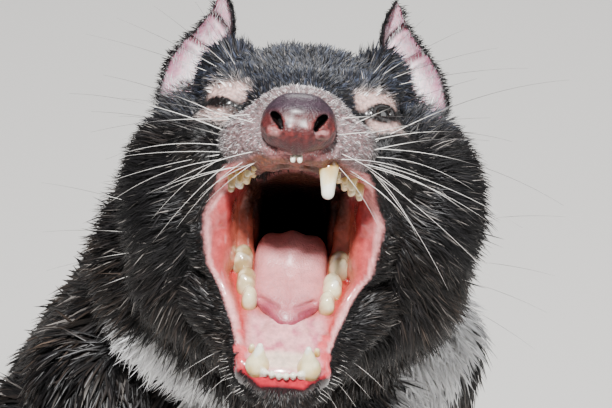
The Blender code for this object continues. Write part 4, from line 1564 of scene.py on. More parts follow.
@dataclass
class Teeth:
    """The worn teeth: one upper canine is lost."""

    step: float = 0.00044

    def cheek_tooth(self, place: Matrix, at: Vector, out: int, size: float, drop: float) -> list[Form]:
        """Gives one cheek tooth.

        Args:
            place: HEAD or JAW.
            at: The middle of its root.
            out: The side of the mouth.
            size: Its length along the row.
            drop: How far it stands out of the gum, below 0 for an upper tooth.

        Returns:
            Two rounded bodies with worn points: three on an upper tooth, and lower ones on a lower tooth.
        """
        forms: list[Form] = []
        plump, apart = (0.62, 0.24) if drop < 0 else (0.8, 0.15)
        for along in (-apart, apart):
            centre = at + Vector((0, along * size, drop * 0.25))
            forms.append(Lump(place, tuple(centre), (size * 0.38, size * (0.58 - apart), abs(drop) * plump)))
        cusps = ((0.14, -0.34, 0.86), (0.18, 0.1, 1.0),
            (-0.16, 0.3, 0.78)) if drop < 0 else ((0.1, -0.12, 0.9),)
        for x, y, z in cusps:
            tip = at + Vector((x * size * out, y * size, drop * z))
            base = at + Vector((x * size * 0.7 * out, y * size * 0.8, drop * 0.2))
            forms += chain(place, [tuple(base), tuple(tip)], (size * 0.26, size * 0.14))
        return forms

    def upper(self) -> list[Form]:
        """The teeth of the upper jaw."""
        forms: list[Form] = []
        crown = [(0.012, -0.0965, 0.001), (0.0121, -0.0972, -0.006), (0.0124, -0.0982, -0.0152)]
        forms += chain(HEAD, crown, (0.0037, 0.0036, 0.0024))
        for side, _ in SIDES:
            forms += chain(HEAD, [(0.0013 * side, -0.107, -0.002), (0.0013 * side, -0.1078, -0.0052)],
                (0.0011, 0.001))
            for y, x, size, drop in (
                (-0.086, 0.0148, 0.0064, -0.005),
                (-0.0775, 0.0172, 0.0078, -0.0062),
                (-0.068, 0.02, 0.0092, -0.0076),
                (-0.058, 0.0228, 0.0098, -0.0082),
            ):
                forms += self.cheek_tooth(HEAD, Vector((x * side, y, -0.0024)), side, size, drop)
        return forms

    def lower(self) -> list[Form]:
        """The teeth of the lower jaw."""
        forms: list[Form] = []
        for side, _ in SIDES:
            crown = [(0.0096 * side, -0.096, -0.0002), (0.0098 * side, -0.096, 0.0045),
                (0.0092 * side, -0.093, 0.0122)]
            forms += chain(JAW, crown, (0.0042, 0.0046, 0.0012))
            for number in range(3):
                at = (0.00135 + 0.0027 * number) * side
                tooth = [(at, -0.099 + 0.0004 * number, 0.0005), (at, -0.1012 + 0.0006 * number, 0.0056)]
                forms += chain(JAW, tooth, (0.0011, 0.00125))
            small = [(0.0124 * side, -0.089, 0.001), (0.0124 * side, -0.088, 0.0056)]
            forms += chain(JAW, small, (0.002, 0.0011))
            for y, x, size, drop in (
                (-0.0645, 0.015, 0.0082, 0.008),
                (-0.056, 0.0167, 0.0104, 0.008),
                (-0.0452, 0.0189, 0.0112, 0.0084),
            ):
                forms += self.cheek_tooth(JAW, Vector((x * side, y, 0.0022)), side, size, drop)
        return forms

    def build(self, effects: Effects) -> None:
        """Makes both rows."""
        finish = ENAMEL.material(effects)
        for name, place, low, high, forms, blend, sign in (
            ("upper_teeth", HEAD, (-0.031, -0.112, -0.024), (0.031, -0.048, 0.003), self.upper(), 0.0009, -1),
            ("lower_teeth", JAW, (-0.028, -0.107, -0.008), (0.028, -0.036, 0.016), self.lower(), 0.0006, 1),
        ):
            box = Lattice(low, high, self.step, place)
            box.melt(forms, blend)
            points, faces = box.surface()
            near = into(place, points)
            height = near[:, 2] * sign
            start = 0.0068 if sign < 0 else 0.0042
            worn = height + 0.0022 * ripple(points, 0.006, 3)
            colours = plain((0.54, 0.34, 0.1), points)
            colours = mixed(colours, (0.8, 0.7, 0.43), ramp(worn, start - 0.001, start + 0.004))
            colours = mixed(colours, (0.86, 0.84, 0.72), ramp(worn, 0.0105, 0.0125))
            colours = mixed(colours, (0.26, 0.105, 0.026), ramp(worn, start + 0.0002, start - 0.0032) * 0.9)
            # Browner patch on the cheek teeth of the right side.
            browner_patch = ramp(near[:, 0], -0.011, -0.014) * ramp(near[:, 1], -0.066,
                -0.056) * ramp(ripple(points, 0.005, 13), -1.0, 0.4)
            colours = mixed(colours, (0.3, 0.17, 0.05), browner_patch * 0.8)
            front = ramp(near[:, 1], -0.0985, -0.1) * ramp(np.abs(near[:, 0]), 0.009, 0.008)
            colours = mixed(colours, (0.84, 0.8, 0.66), front)
            piece = mesh_piece(name, points, faces, finish)
            paint(piece, "Tint", colours)
            settle(piece, "tooth_enamel")


def smooth_line(points: Sequence[Triple], shares: Array) -> Array:
    """Reads a smooth curve through points.

    Args:
        points: The points that it passes through.
        shares: Where to read it, from 0 at the first point to 1 at the last.

    Returns:
        The places, one to a row.
    """
    line = np.array(points, dtype=np.float32)
    line = np.concatenate((2 * line[:1] - line[1:2], line, 2 * line[-1:] - line[-2:-1]))
    at = np.clip(shares, 0, 1) * (len(points) - 1)
    first = np.minimum(at.astype(int), len(points) - 2)
    u = (at - first)[:, None]
    a, b, c, d = (line[first + step] for step in range(4))
    return 0.5 * (2 * b + (c - a) * u + (2 * a - 5 * b + 4 * c - d) * u**2 + (3 * b - a - 3 * c + d) * u**3)


@dataclass
class Ears:
    """The two upright ears: bent leaves of skin whose cups face forwards and outwards."""

    outer_edge: tuple[Triple, ...] = (
        (0.04, 0.004, 0.015),
        (0.0535, 0.009, 0.025),
        (0.0582, 0.011, 0.0348),
        (0.0575, 0.011, 0.0426),
        (0.055, 0.0095, 0.0504),
        (0.0502, 0.0072, 0.057),
        (0.0446, 0.005, 0.0628),
        (0.0397, 0.0036, 0.0692),
        (0.0373, 0.0028, 0.0747),
        (0.0353, 0.002, 0.078),
    )
    inner_edge: tuple[Triple, ...] = (
        (0.028, -0.006, 0.023),
        (0.031, -0.008, 0.034),
        (0.0325, -0.008, 0.042),
        (0.0322, -0.0075, 0.049),
        (0.0316, -0.0068, 0.055),
        (0.031, -0.006, 0.0608),
        (0.0313, -0.004, 0.0664),
        (0.0324, -0.0015, 0.0706),
        (0.0338, 0.0005, 0.0744),
        (0.035, 0.0015, 0.0776),
    )
    faces_out: float = math.radians(40)
    cup: float = 0.0105
    wall: float = 0.0013
    along: int = 90
    across: int = 34

    def leaf(self, side: int) -> tuple[Array, Array, Array]:
        """Shapes one ear.

        Args:
            side: LEFT or RIGHT.

        Returns:
            The points of rings that run over the inside of the cup and back over its outside, the same points
            ring by ring, and marks for each: how far across the cup it lies (-1 at the inner edge, 1 at the
            outer, and 10 more behind), how far up (0 to 1), and how far above the fold and the notch.
        """
        up = np.linspace(0, 1, self.along)
        inner = smooth_line(self.inner_edge, up)[:, None]
        outer = smooth_line(self.outer_edge, up)[:, None]
        over = -np.cos(np.linspace(0, math.pi, self.across))[None, :]
        looks = np.array((math.sin(self.faces_out), -math.cos(self.faces_out), 0.1), dtype=np.float32)
        middle = (inner + outer) / 2 + (outer - inner) / 2 * over[..., None]
        deep = self.cup * (np.sin(math.pi * np.clip(up, 0, 1) ** 0.8)[:, None] * 0.75 + 0.25
            * (1 - up[:, None] ** 2))
        hollow = deep * (1 - over**2) ** 0.8
        x, z = middle[..., 0], middle[..., 2]
        fold = self.from_line(x, z, (0.05, 0.059), (0.0388, 0.044))
        notch = self.from_line(x, z, (0.0404, 0.0715), (0.0368, 0.06))
        creases = 0.001 * np.exp(-((fold + 0.0016) / 0.0012) ** 2) - 0.0022 * np.exp(-((fold
            - 0.001) / 0.0013) ** 2)
        creases += 0.0012 * np.exp(-((notch / 0.0011) ** 2)) - 0.001 * np.exp(-(((notch
            - 0.0022) / 0.0012) ** 2))
        inside = hollow + creases * np.sqrt(1 - over**2)
        thick = self.wall * (0.25 + 0.75 * np.sqrt(np.clip(1 - over**2, 0, 1))) * (1 + 1.5
            * (1 - up[:, None]) ** 2)
        front = middle - inside[..., None] * looks
        rear = middle - (hollow + thick)[..., None] * looks
        rings = np.concatenate((front, rear[:, ::-1]), axis=1)
        rings[..., 0] *= side
        across = np.broadcast_to(np.concatenate((over, over[:, ::-1] + 10), axis=1), rings.shape[:2])
        marks = np.stack((across, np.broadcast_to(up[:, None], rings.shape[:2]),
            np.concatenate((fold, fold[:, ::-1]), axis=1),
                          np.concatenate((notch, notch[:, ::-1]), axis=1)), axis=-1)
        return out_of(HEAD, rings.reshape(-1, 3).astype(np.float32)), rings, marks.reshape(-1, 4)

    @staticmethod
    def from_line(x: Array, z: Array, start: tuple[float, float], end: tuple[float, float]) -> Array:
        """How far points of the ear lie above a line across it; far away beyond the line's ends."""
        way = np.array(end) - np.array(start)
        length = np.linalg.norm(way)
        along = ((x - start[0]) * way[0] + (z - start[1]) * way[1]) / length
        off = ((x - start[0]) * -way[1] + (z - start[1]) * way[0]) / length
        return off + np.sign(off) * np.maximum(0, np.maximum(-along, along - length)) * 0.8

    def build(self, effects: Effects) -> list[tuple[Array, Array, Array]]:
        """Makes both ears.

        Args:
            effects: The shared node groups.

        Returns:
            For each ear its points, its triangles and the marks of its points.
        """
        finish = EAR_SKIN.material(effects)
        made = []
        for side, name in SIDES:
            points, rings, marks = self.leaf(side)
            faces = turned_out(points, lofted(len(rings), rings.shape[1]))
            over, up, fold, notch = marks.T
            front = (over < 5).astype(np.float32)
            colours = plain((0.018, 0.012, 0.014), points)
            colours = mixed(colours, (0.6, 0.3, 0.38), front)
            near = into(HEAD, points)
            veins = ripple(near * np.array((1.0, 0.5, 0.5), dtype=np.float32), 0.003, 17)
            colours = mixed(colours, (0.72, 0.56, 0.62), front * ramp(veins, -0.5, 0.7) * 0.85)
            pale = np.exp(-(((up - 0.42) / 0.16) ** 2)) * ramp(over, -0.3, 0.2) * ramp(over, 0.85, 0.55)
            colours = mixed(colours, (0.86, 0.8, 0.82), front * pale * 0.7)
            colours = mixed(colours, (0.36, 0.12, 0.2), front * ramp(np.abs(over), 0.7, 0.95) * 0.8)
            tip = ramp(up, 0.72, 0.92)
            colours = mixed(colours, (0.26, 0.06, 0.11), front * tip * ramp(veins, -0.7, 0.5) * 0.85)
            # Painted shade: the crease of the fold and the notch near the tip are painted dark.
            colours = mixed(colours, (0.15, 0.035, 0.055),
                front * ramp(np.abs(fold + 0.0014), 0.0018, 0.0005) * 0.9)
            colours = mixed(colours, (0.03, 0.01, 0.016), front * ramp(np.abs(notch), 0.0016, 0.0005))
            edge = np.abs(np.where(over > 5, over - 10, over))
            colours = mixed(colours, (0.03, 0.014, 0.018), ramp(edge, 0.95, 0.985))
            piece = mesh_piece(f"{name}_ear", points, faces, finish)
            paint(piece, "Tint", colours)
            settle(piece, "bare_skin", f"ear_{name}")
            made.append((points, faces, marks))
        return made


@dataclass
class Eyeballs:
    """The small dark eyes."""

    eye: Eye

    def build(self, effects: Effects) -> None:
        """Makes both eyes."""
        finish = EYE_SHINE.material(effects)
        for side, name in SIDES:
            place = self.eye.frame(side)
            shape = bmesh.new()
            bmesh.ops.create_uvsphere(shape, u_segments=48, v_segments=32, radius=self.eye.radius)
            shape.transform(place @ Matrix.Rotation(math.radians(90), 4, "X"))
            mesh = bpy.data.meshes.new(f"{name}_eye")
            shape.to_mesh(mesh)
            shape.free()
            mesh.shade_smooth()
            mesh.materials.append(finish)
            piece = bpy.data.objects.new(f"{name}_eye", mesh)
            bpy.context.scene.collection.objects.link(piece)
            points = np.array([tuple(vertex.co) for vertex in mesh.vertices], dtype=np.float32)
            near = into(place, points)
            off_axis = np.hypot(near[:, 0], near[:, 2])
            colours = plain((0.1, 0.075, 0.07), points)
            colours = mixed(colours, (0.022, 0.011, 0.006), ramp(off_axis, 0.0052, 0.0046))
            colours = mixed(colours, (0.002, 0.002, 0.002), ramp(off_axis, 0.0028, 0.0024))
            paint(piece, "Tint", colours)
            settle(piece, "wet_eye", f"eye_{name}")


def lofted(rings: int, sides: int) -> Array:
    """Joins closed rings of points into a closed surface.

    Args:
        rings: How many rings there are.
        sides: How many points each has.

    Returns:
        The triangles.
    """
    faces = []
    for ring in range(rings - 1):
        for number in range(sides):
            a, b = ring * sides + number, ring * sides + (number + 1) % sides
            faces += [(a, b, b + sides), (a, b + sides, a + sides)]
    last = (rings - 1) * sides
    for number in range(1, sides - 1):
        faces += [(0, number + 1, number), (last, last + number, last + number + 1)]
    return np.array(faces, dtype=np.int32)


def turned_out(points: Array, faces: Array) -> Array:
    """Gives the triangles of a closed surface so that all of them face outwards."""
    a, b, c = points[faces[:, 0]], points[faces[:, 1]], points[faces[:, 2]]
    return faces if float((a * np.cross(b - a, c - a)).sum()) > 0 else faces[:, ::-1]


def tube(points: Sequence[Vector], radii: Sequence[float], sides: int) -> tuple[Array, Array]:
    """Makes a closed, tapered tube along a line.

    Args:
        points: The line.
        radii: The radius at each point.
        sides: How many sides it has.

    Returns:
        Its points and triangles.
    """
    line = np.array([tuple(point) for point in points], dtype=np.float32)
    along = unit(np.gradient(line, axis=0))
    helper = np.array((0.3, 0.2, 0.9), dtype=np.float32)
    across = unit(np.cross(along, helper))
    up = np.cross(along, across)
    angles = np.arange(sides) * (2 * math.pi / sides)
    rings = (
        line[:, None]
        + (across[:, None] * np.cos(angles)[None, :, None] + up[:, None] * np.sin(angles)[None, :, None])
        * np.array(radii, dtype=np.float32)[:, None, None]
    ).reshape(-1, 3)
    return rings, turned_out(rings, lofted(len(line), sides))


@dataclass
class Claws:
    """The long, curved claws."""

    legs: Legs
    radius: float = 0.0026

    def build(self, effects: Effects) -> None:
        """Makes the claws of all feet as one piece."""
        surfaces, colours = [], []
        for side, _ in SIDES:
            for fore in (True, False):
                for knuckle, tip in self.legs.knuckles(side, fore):
                    start = WORLD @ (knuckle + Vector((0, -0.0045, 0.0018)))
                    end = WORLD @ tip
                    steps = 9
                    line, radii = [], []
                    for step in range(steps):
                        share = step / (steps - 1)
                        line.append(start.lerp(end, share)
                            + Vector((0, 0, 0.0042 * math.sin(math.pi * share * 0.8))))
                        radii.append(self.radius * (1 - share**1.6) + 0.0003)
                    points, faces = tube(line, radii, 10)
                    points[:, 2] = np.maximum(points[:, 2], 0.0002)
                    surfaces.append((points, faces))
                    share = np.repeat(np.linspace(0, 1, steps), 10)
                    base = plain((0.075, 0.055, 0.042), points)
                    colours.append(mixed(base, (0.38, 0.31, 0.22), ramp(share, 0.3, 1.0)))
        points, faces = joined_arrays(surfaces)
        piece = mesh_piece("claws", points, faces, CLAW.material(effects))
        paint(piece, "Tint", np.concatenate(colours))
        settle(piece, "claw_horn")


@dataclass
class Whiskers:
    """The whiskers on the muzzle, over the eyes, on the cheeks and on the chin."""

    skin: bpy.types.Object
    steps: int = 16
    rows: tuple[tuple[float, float, float, float, float], ...] = (
        (0.01, 14.0, 0.062, 0.1, 0.1),
        (0.006, 2.0, 0.056, 0.12, 0.3),
        (0.002, -10.0, 0.05, 0.14, 0.75),
        (-0.001, -24.0, 0.046, 0.18, 0.9),
        (-0.003, -42.0, 0.036, 0.22, 0.95),
    )

    def line(self, place: Matrix, root: Vector, way: Vector, length: float, sag: float) -> list[Vector]:
        """Bends one whisker.

        Args:
            place: The frame of root and way.
            root: Near where it grows, which is then put on the skin.
            way: The way that it sets off.
            length: Its length.
            sag: How far its tip hangs below a straight line, as a share of its length.

        Returns:
            Points along it in the row frame.
        """
        found, hit, _, _ = self.skin.closest_point_on_mesh(place @ root)
        start = hit if found else place @ root
        out = (place.to_3x3() @ way).normalized()
        side_sway = out.cross(Vector((0, 0, 1))).normalized() * (0.35 * sag * length)
        down = Vector((0, 0, -sag * length))
        shares = [step / (self.steps - 1) for step in range(self.steps)]
        return [start + out * (length * share - 0.0012) + (down + side_sway) * share**2.2 for share in shares]

    def build(self, effects: Effects) -> None:
        """Makes all the whiskers as one piece."""
        draw = np.random.default_rng(12)
        surfaces, colours = [], []

        def add(line: list[Vector], thick: float, dark_from: float) -> None:
            """Adds one whisker that turns dark after a share of its length."""
            share = np.linspace(0, 1, len(line))
            points, faces = tube(line, list(thick * (1 - 0.82 * share**0.8)), 5)
            base = plain((0.78, 0.75, 0.71), points)
            colours.append(mixed(base, (0.02, 0.014, 0.013),
                ramp(np.repeat(share, 5), dark_from, dark_from + 0.3)))
            surfaces.append((points, faces))

        for side, _ in SIDES:
            for row, (up, rise, length, sag, dark_from) in enumerate(self.rows):
                for column in range(4):
                    root = Vector((
                        (0.015 + 0.005 * column) * side,
                        -0.0985 + 0.0095 * column + draw.uniform(-0.004, 0.004),
                        up + draw.uniform(-0.002, 0.002),
                    ))
                    lifted = math.radians(rise + 3.0 * column + draw.uniform(-13, 13))
                    back = math.radians(-14 + 11 * column + draw.uniform(-12, 12))
                    way = Vector((
                        math.cos(lifted) * math.cos(back) * side,
                        math.cos(lifted) * math.sin(back),
                        math.sin(lifted),
                    ))
                    longer = length * (0.66 + 0.17 * column) * draw.uniform(0.7, 1.2)
                    line = self.line(HEAD, root, way, longer, sag * draw.uniform(0.6, 2.3))
                    add(line, 0.00019 - 0.00001 * row, dark_from + draw.uniform(-0.15, 0.1))
            for number in range(4):
                root = Vector((0.026 * side + 0.003 * number * side, -0.052 + 0.004 * number, 0.036))
                way = Vector(((0.5 + 0.3 * number) * side, -0.3, 0.7 - 0.1 * number))
                add(self.line(HEAD, root, way, 0.034 + 0.007 * number, 0.1), 0.00014, 0.1)
            for number in range(4):
                root = Vector((0.048 * side, -0.02 + 0.007 * number, -0.012 - 0.008 * number))
                way = Vector((1.0 * side, 0.15 + 0.1 * number, 0.25 - 0.2 * number))
                add(self.line(HEAD, root, way, 0.042, 0.1), 0.00014, 0.2)
            for number in range(7):
                root = Vector((0.0035 * (number + 0.4) * side, -0.098 + 0.004 * number, -0.012))
                way = Vector(((0.15 + 0.16 * number) * side, -0.45, -0.7 + 0.05 * number))
                add(self.line(JAW, root, way, 0.007 + 0.002 * number, 0.15), 0.00011, 0.9)
            for number in range(12):
                root = Vector(((0.012 + 0.0005 * number) * side, -0.101 + 0.0016 * number, -0.0052))
                way = Vector((0.8 * side, -0.65 + 0.05 * number, 0.15 + draw.uniform(-0.3, 0.3)))
                add(self.line(JAW, root, way, draw.uniform(0.004, 0.007), 0.1), 0.0001, 0.9)
        points, faces = joined_arrays(surfaces)
        piece = mesh_piece("whiskers", points, faces, WHISKER.material(effects))
        paint(piece, "Tint", np.concatenate(colours))
        settle(piece, "whisker_hair")


@dataclass(frozen=True)
class Unwrap:
    """A cylinder round a part of the body, which its skin is unrolled on. Its axis is Y."""

    place: Matrix
    reach: float

    def flat(self, points: Array) -> Array:
        """Unrolls points.

        Args:
            points: Points of the skin in the row frame.

        Returns:
            Two coordinates from 0 to 1 for each.
        """
        near = into(self.place, points)
        round_about = np.arctan2(near[:, 0], near[:, 2]) / (2 * math.pi) + 0.5
        along = near[:, 1] / (2 * self.reach) + 0.5
        return np.clip(np.stack((round_about, along), axis=1), 0.002, 0.998)


@dataclass(frozen=True)
class Bed:
    """Places where tufts grow, how they grow there, their colours and their places on the unwrapped skin."""

    places: Array
    normals: Array
    grown: dict[str, Array]
    roots: Array
    tips: Array
    flat: Array

    def some(self, chosen: Array) -> "Bed":
        """Picks some of the places."""
        grown = {key: values[chosen] for key, values in self.grown.items()}
        return Bed(
            self.places[chosen], self.normals[chosen], grown, self.roots[chosen], self.tips[chosen], self.flat[chosen]
        )


def measured(points: Array, faces: Array) -> tuple[Array, Array, Array]:
    """Measures triangles.

    Args:
        points: The vertices.
        faces: The triangles.

    Returns:
        Their corners, their normals and their areas.
    """
    corners = points[faces]
    across = np.cross(corners[:, 1] - corners[:, 0], corners[:, 2] - corners[:, 0])
    doubled = np.linalg.norm(across, axis=1)
    return corners, across / np.maximum(doubled, 1e-12)[:, None], doubled / 2


def scattered(draw: np.random.Generator, corners: Array, expected: Array) -> tuple[Array, Array]:
    """Scatters places over triangles.

    Args:
        draw: The source of random numbers.
        corners: The corners of the triangles.
        expected: How many places to expect on each.

    Returns:
        The triangle of each place, and the places.
    """
    counts = draw.poisson(expected)
    chosen = np.repeat(np.arange(len(counts)), counts)
    first, second = draw.random(len(chosen)), draw.random(len(chosen))
    over = first + second > 1
    first[over], second[over] = 1 - first[over], 1 - second[over]
    corner = corners[chosen]
    places = (
        corner[:, 0]
        + (corner[:, 1] - corner[:, 0]) * first[:, None]
        + (corner[:, 2] - corner[:, 0]) * second[:, None]
    )
    return chosen, places.astype(np.float32)


@dataclass
class Coat:
    """The tufts of hair on the skin."""

    flesh: Flesh
    markings: Markings
    skin: bpy.types.Object
    patch: float = 0.003
    limit: int = 32000
    seed: int = 2024

    def unwraps(self) -> dict[Part, Unwrap]:
        """The cylinder of each part."""
        upright = Matrix.Rotation(math.radians(90), 4, "X")
        legs = {}
        for side, fore_part, hind_part in (
            (LEFT, Part.FORELEG_LEFT, Part.HINDLEG_LEFT),
            (RIGHT, Part.FORELEG_RIGHT, Part.HINDLEG_RIGHT),
        ):
            legs[fore_part] = Unwrap(WORLD @ Matrix.Translation((0.068 * side, -0.055, 0.125)) @ upright,
                0.16)
            legs[hind_part] = Unwrap(WORLD @ Matrix.Translation((0.078 * side, 0.085, 0.07)) @ upright, 0.12)
        return {
            Part.HEAD: Unwrap(HEAD @ Matrix.Translation((0, -0.035, 0.0)), 0.11),
            Part.NECK: Unwrap(WORLD @ Matrix.Translation((0, -0.08, 0.29)) @ upright, 0.12),
            Part.TORSO: Unwrap(WORLD @ Matrix.Translation((0, 0.04, 0.15)) @ Matrix.Rotation(-0.7, 4, "X"),
                0.24),
            Part.TAIL: Unwrap(WORLD @ Matrix.Translation((0.015, 0.315, 0.025)), 0.16),
            **legs,
        }

    def triangles(self) -> tuple[Array, Array, Array]:
        """Reads the skin.

        Returns:
            The corners of its triangles, their normals and their areas.
        """
        mesh = self.skin.data
        points = np.zeros(len(mesh.vertices) * 3, dtype=np.float32)
        mesh.vertices.foreach_get("co", points)
        points = points.reshape(-1, 3)
        quads = np.zeros(len(mesh.loops), dtype=np.int32)
        mesh.loops.foreach_get("vertex_index", quads)
        quads = quads.reshape(-1, 4)
        return measured(points, np.concatenate((quads[:, [0, 1, 2]], quads[:, [0, 2, 3]])))

    def lie(self, points: Array) -> dict[str, Array]:
        """Reads how the hair grows at points of the skin.

        Args:
            points: Points in the row frame.

        Returns:
            Way, length, width, lift, cover and part of the hair at each.
        """
        forms = [form for form in self.flesh.hairy() if form.hair.length > 0]
        parts = list(Part)
        total = np.full(len(points), 1e-9, dtype=np.float32)
        best = np.full(len(points), FAR, dtype=np.float32)
        which = np.zeros(len(points), dtype=np.int32)
        found = {key: np.zeros(len(points), dtype=np.float32) for key in ("length", "width", "lift", "cover")}
        way = np.zeros((len(points), 3), dtype=np.float32)
        for form in forms:
            distance = form.distance(points)
            weight = np.exp(-np.maximum(distance + 0.002, 0.0) / 0.005).astype(np.float32)
            turned = np.array(form.place.to_3x3(), dtype=np.float32)
            if form.hair.away_from:
                near = into(form.place, points) - np.array(form.hair.away_from, dtype=np.float32)
                ways = unit(near) @ turned.T
            else:
                ways = np.array(form.hair.lie, dtype=np.float32) @ turned.T
            way += ways * weight[:, None]
            total += weight
            for key in found:
                found[key] += weight * getattr(form.hair, key)
            closer = distance < best
            best[closer] = distance[closer]
            which[closer] = parts.index(form.part)
        for key in found:
            found[key] /= total
        return {**found, "way": unit(way), "part": which}

    def skin_bed(self) -> Bed:
        """Chooses where tufts grow on the skin."""
        draw = np.random.default_rng(self.seed)
        corners, normals, areas = self.triangles()
        middles = corners.mean(axis=1)
        grown = self.lie(middles)
        muzzle = self.markings.muzzle_share(middles)
        for key in ("length", "width", "lift", "cover"):
            grown[key] += (getattr(MUZZLE, key) - grown[key]) * muzzle
        footprint = grown["length"] * grown["width"] * 0.6
        expected = areas * grown["cover"] / footprint * (1 - self.markings.thinned(middles))
        grown["length"] *= self.markings.shortened(middles)
        expected[middles[:, 2] < 0.0008] = 0
        chosen, places = scattered(draw, corners, expected)
        roots, tips = self.markings.hair(places)
        flat = np.zeros((len(places), 2), dtype=np.float32)
        grown = {key: values[chosen] for key, values in grown.items()}
        for part, unwrap in self.unwraps().items():
            here = grown["part"] == list(Part).index(part)
            flat[here] = unwrap.flat(places[here])
        return Bed(places, normals[chosen], grown, roots, tips, flat)

    def ear_bed(self, side: int, ear: tuple[Array, Array, Array]) -> Bed:
        """Chooses where hair grows on an ear.

        Args:
            side: LEFT or RIGHT.
            ear: The ear's points, its triangles and the marks of its points.

        Returns:
            Black hair behind, a fringe on the rim, tufts at the foot and a few fine white hairs inside.
        """
        draw = np.random.default_rng(self.seed + 7 + side)
        points, faces, marks = ear
        corners, normals, areas = measured(points, faces)
        over, up = marks[faces].mean(axis=1)[:, :2].T
        behind = (over > 5).astype(np.float32)
        across = np.where(over > 5, over - 10, over)
        rim = ramp(np.abs(across), 0.88, 0.97) * ramp(up, 0.15, 0.25)
        foot = (1 - behind) * ramp(up + 0.13 * across, 0.37, 0.29)
        grown = {}
        for key, (inner, fringe, tuft, back) in {
            "length": (0.0042, 0.0032, 0.0085, 0.0042),
            "width": (0.00015, 0.00024, 0.00036, 0.0004),
            "lift": (24.0, 26.0, 26.0, 14.0),
            "cover": (0.24, 1.6, 2.8, 1.5),
        }.items():
            values = inner + (fringe - inner) * rim
            values += (tuft - values) * foot
            grown[key] = (values + (back - values) * behind).astype(np.float32)
        ways = np.zeros((len(over), 3), dtype=np.float32)
        ways[:, 0] = side * (0.15 + 1.2 * rim * np.sign(across) + 1.1 * foot)
        ways[:, 1] = 0.1
        ways[:, 2] = 1.0 - 0.6 * rim - 0.8 * foot
        grown["way"] = unit(ways @ np.array(HEAD.to_3x3(), dtype=np.float32).T)
        grown["part"] = np.zeros(len(over), dtype=np.int32)
        chosen, places = scattered(draw, corners,
            areas * grown["cover"] / (grown["length"] * grown["width"] * 0.6))
        dark = np.clip(rim + foot + behind, 0, 1)[chosen]
        roots = mixed(np.full((len(places), 3), 0.62, dtype=np.float32), Markings.BLACK, dark)
        tips = mixed(np.full((len(places), 3), 0.8, dtype=np.float32), (0.012, 0.011, 0.013), dark)
        flat = np.stack(((across / 4 + 0.25 + 0.5 * behind)[chosen], up[chosen]), axis=1)
        grown = {key: values[chosen] for key, values in grown.items()}
        return Bed(places, normals[chosen], grown, roots, tips, np.clip(flat, 0.002, 0.998))

    def tufts(self, places: Array, normals: Array, grown: dict[str, Array]) -> tuple[Array, Array]:
        """Shapes the tufts.

        Args:
            places: The roots.
            normals: The skin's normals there.
            grown: How the hair grows there.

        Returns:
            Seven points for each tuft, and a number that says how far up the tuft each is.
        """
        draw = np.random.default_rng(self.seed + 1)
        count = len(places)
        sway = np.stack([ripple(places, 0.016, 40 + axis) for axis in range(3)], axis=1) * 0.22
        sway += np.stack([ripple(places, 0.006, 50 + axis) for axis in range(3)], axis=1) * 0.2
        way = grown["way"] + sway + draw.normal(size=(count, 3)) * 0.16
        way = unit(way - normals * (way * normals).sum(axis=1, keepdims=True))
        lift = np.radians(grown["lift"] * draw.uniform(0.5, 1.5, count))[:, None]
        length = (grown["length"] * draw.uniform(0.65, 1.25, count))[:, None]
        width = (grown["width"] * draw.uniform(0.7, 1.3, count))[:, None]
        lower = way * np.cos(lift) + normals * np.sin(lift)
        upper = way * np.cos(lift * 0.45) + normals * np.sin(lift * 0.45)
        twist = draw.uniform(-0.6, 0.6, count)[:, None]
        across = unit(np.cross(normals, way) + normals * twist)
        crest = np.cross(lower, across)
        crest *= np.sign((crest * normals).sum(axis=1, keepdims=True))
        root = places - normals * 0.0003
        middle = root + lower * length * 0.5
        tip = middle + upper * length * 0.5
        rows = [
            root - across * width * 0.5,
            root + crest * width * 0.25,
            root + across * width * 0.5,
            middle - across * width * 0.42,
            middle + crest * width * 0.22,
            middle + across * width * 0.42,
            tip,
        ]
        return np.stack(rows, axis=1), np.array((0, 0, 0, 0.55, 0.55, 0.55, 1.0), dtype=np.float32)

    def plant(self, name: str, slot: str, bed: Bed, finish: bpy.types.Material) -> None:
        """Makes one coat piece.

        Args:
            name: Its name.
            slot: The record's material slot.
            bed: Where its tufts grow.
            finish: Its material.
        """
        shapes, shares = self.tufts(bed.places, bed.normals, bed.grown)
        shapes[:, :, 2] = np.maximum(shapes[:, :, 2], 0.0003)
        draw = np.random.default_rng(len(bed.places))
        uneven = 1 - 0.7 * ramp(bed.tips.mean(axis=1), 0.6, 0.8)
        bright = np.exp(draw.normal(-0.1, 0.6, len(shapes)) * uneven)
        bright = np.clip(bright, 0.3, 3.0).astype(np.float32)[:, None, None]
        shares = shares[None, :, None]
        colours = (bed.roots[:, None] * (1 - shares) + bed.tips[:, None] * shares) * bright
        pattern = np.array(
            ((0, 1, 4), (0, 4, 3), (1, 2, 5), (1, 5, 4), (3, 4, 6), (4, 5, 6)), dtype=np.int32
        )
        corner_uv = np.array(
            ((-0.5, -0.5), (0, -0.5), (0.5, -0.5), (-0.4, 0), (0, 0), (0.4, 0), (0, 0.5)), dtype=np.float32
        )
        faces = (pattern[None] + 7 * np.arange(len(shapes), dtype=np.int32)[:, None, None]).reshape(-1, 3)
        piece = mesh_piece(name, shapes.reshape(-1, 3), faces, finish)
        paint(piece, "Tint", np.clip(colours, 0, 1).reshape(-1, 3))
        uv = np.clip(bed.flat[:, None] + corner_uv[None] * self.patch, 0, 1).reshape(-1, 2)
        layer = piece.data.uv_layers.new(name="OFBake")
        layer.data.foreach_set("uv", uv[faces.ravel()].astype(np.float32).ravel())
        settle(piece, slot)

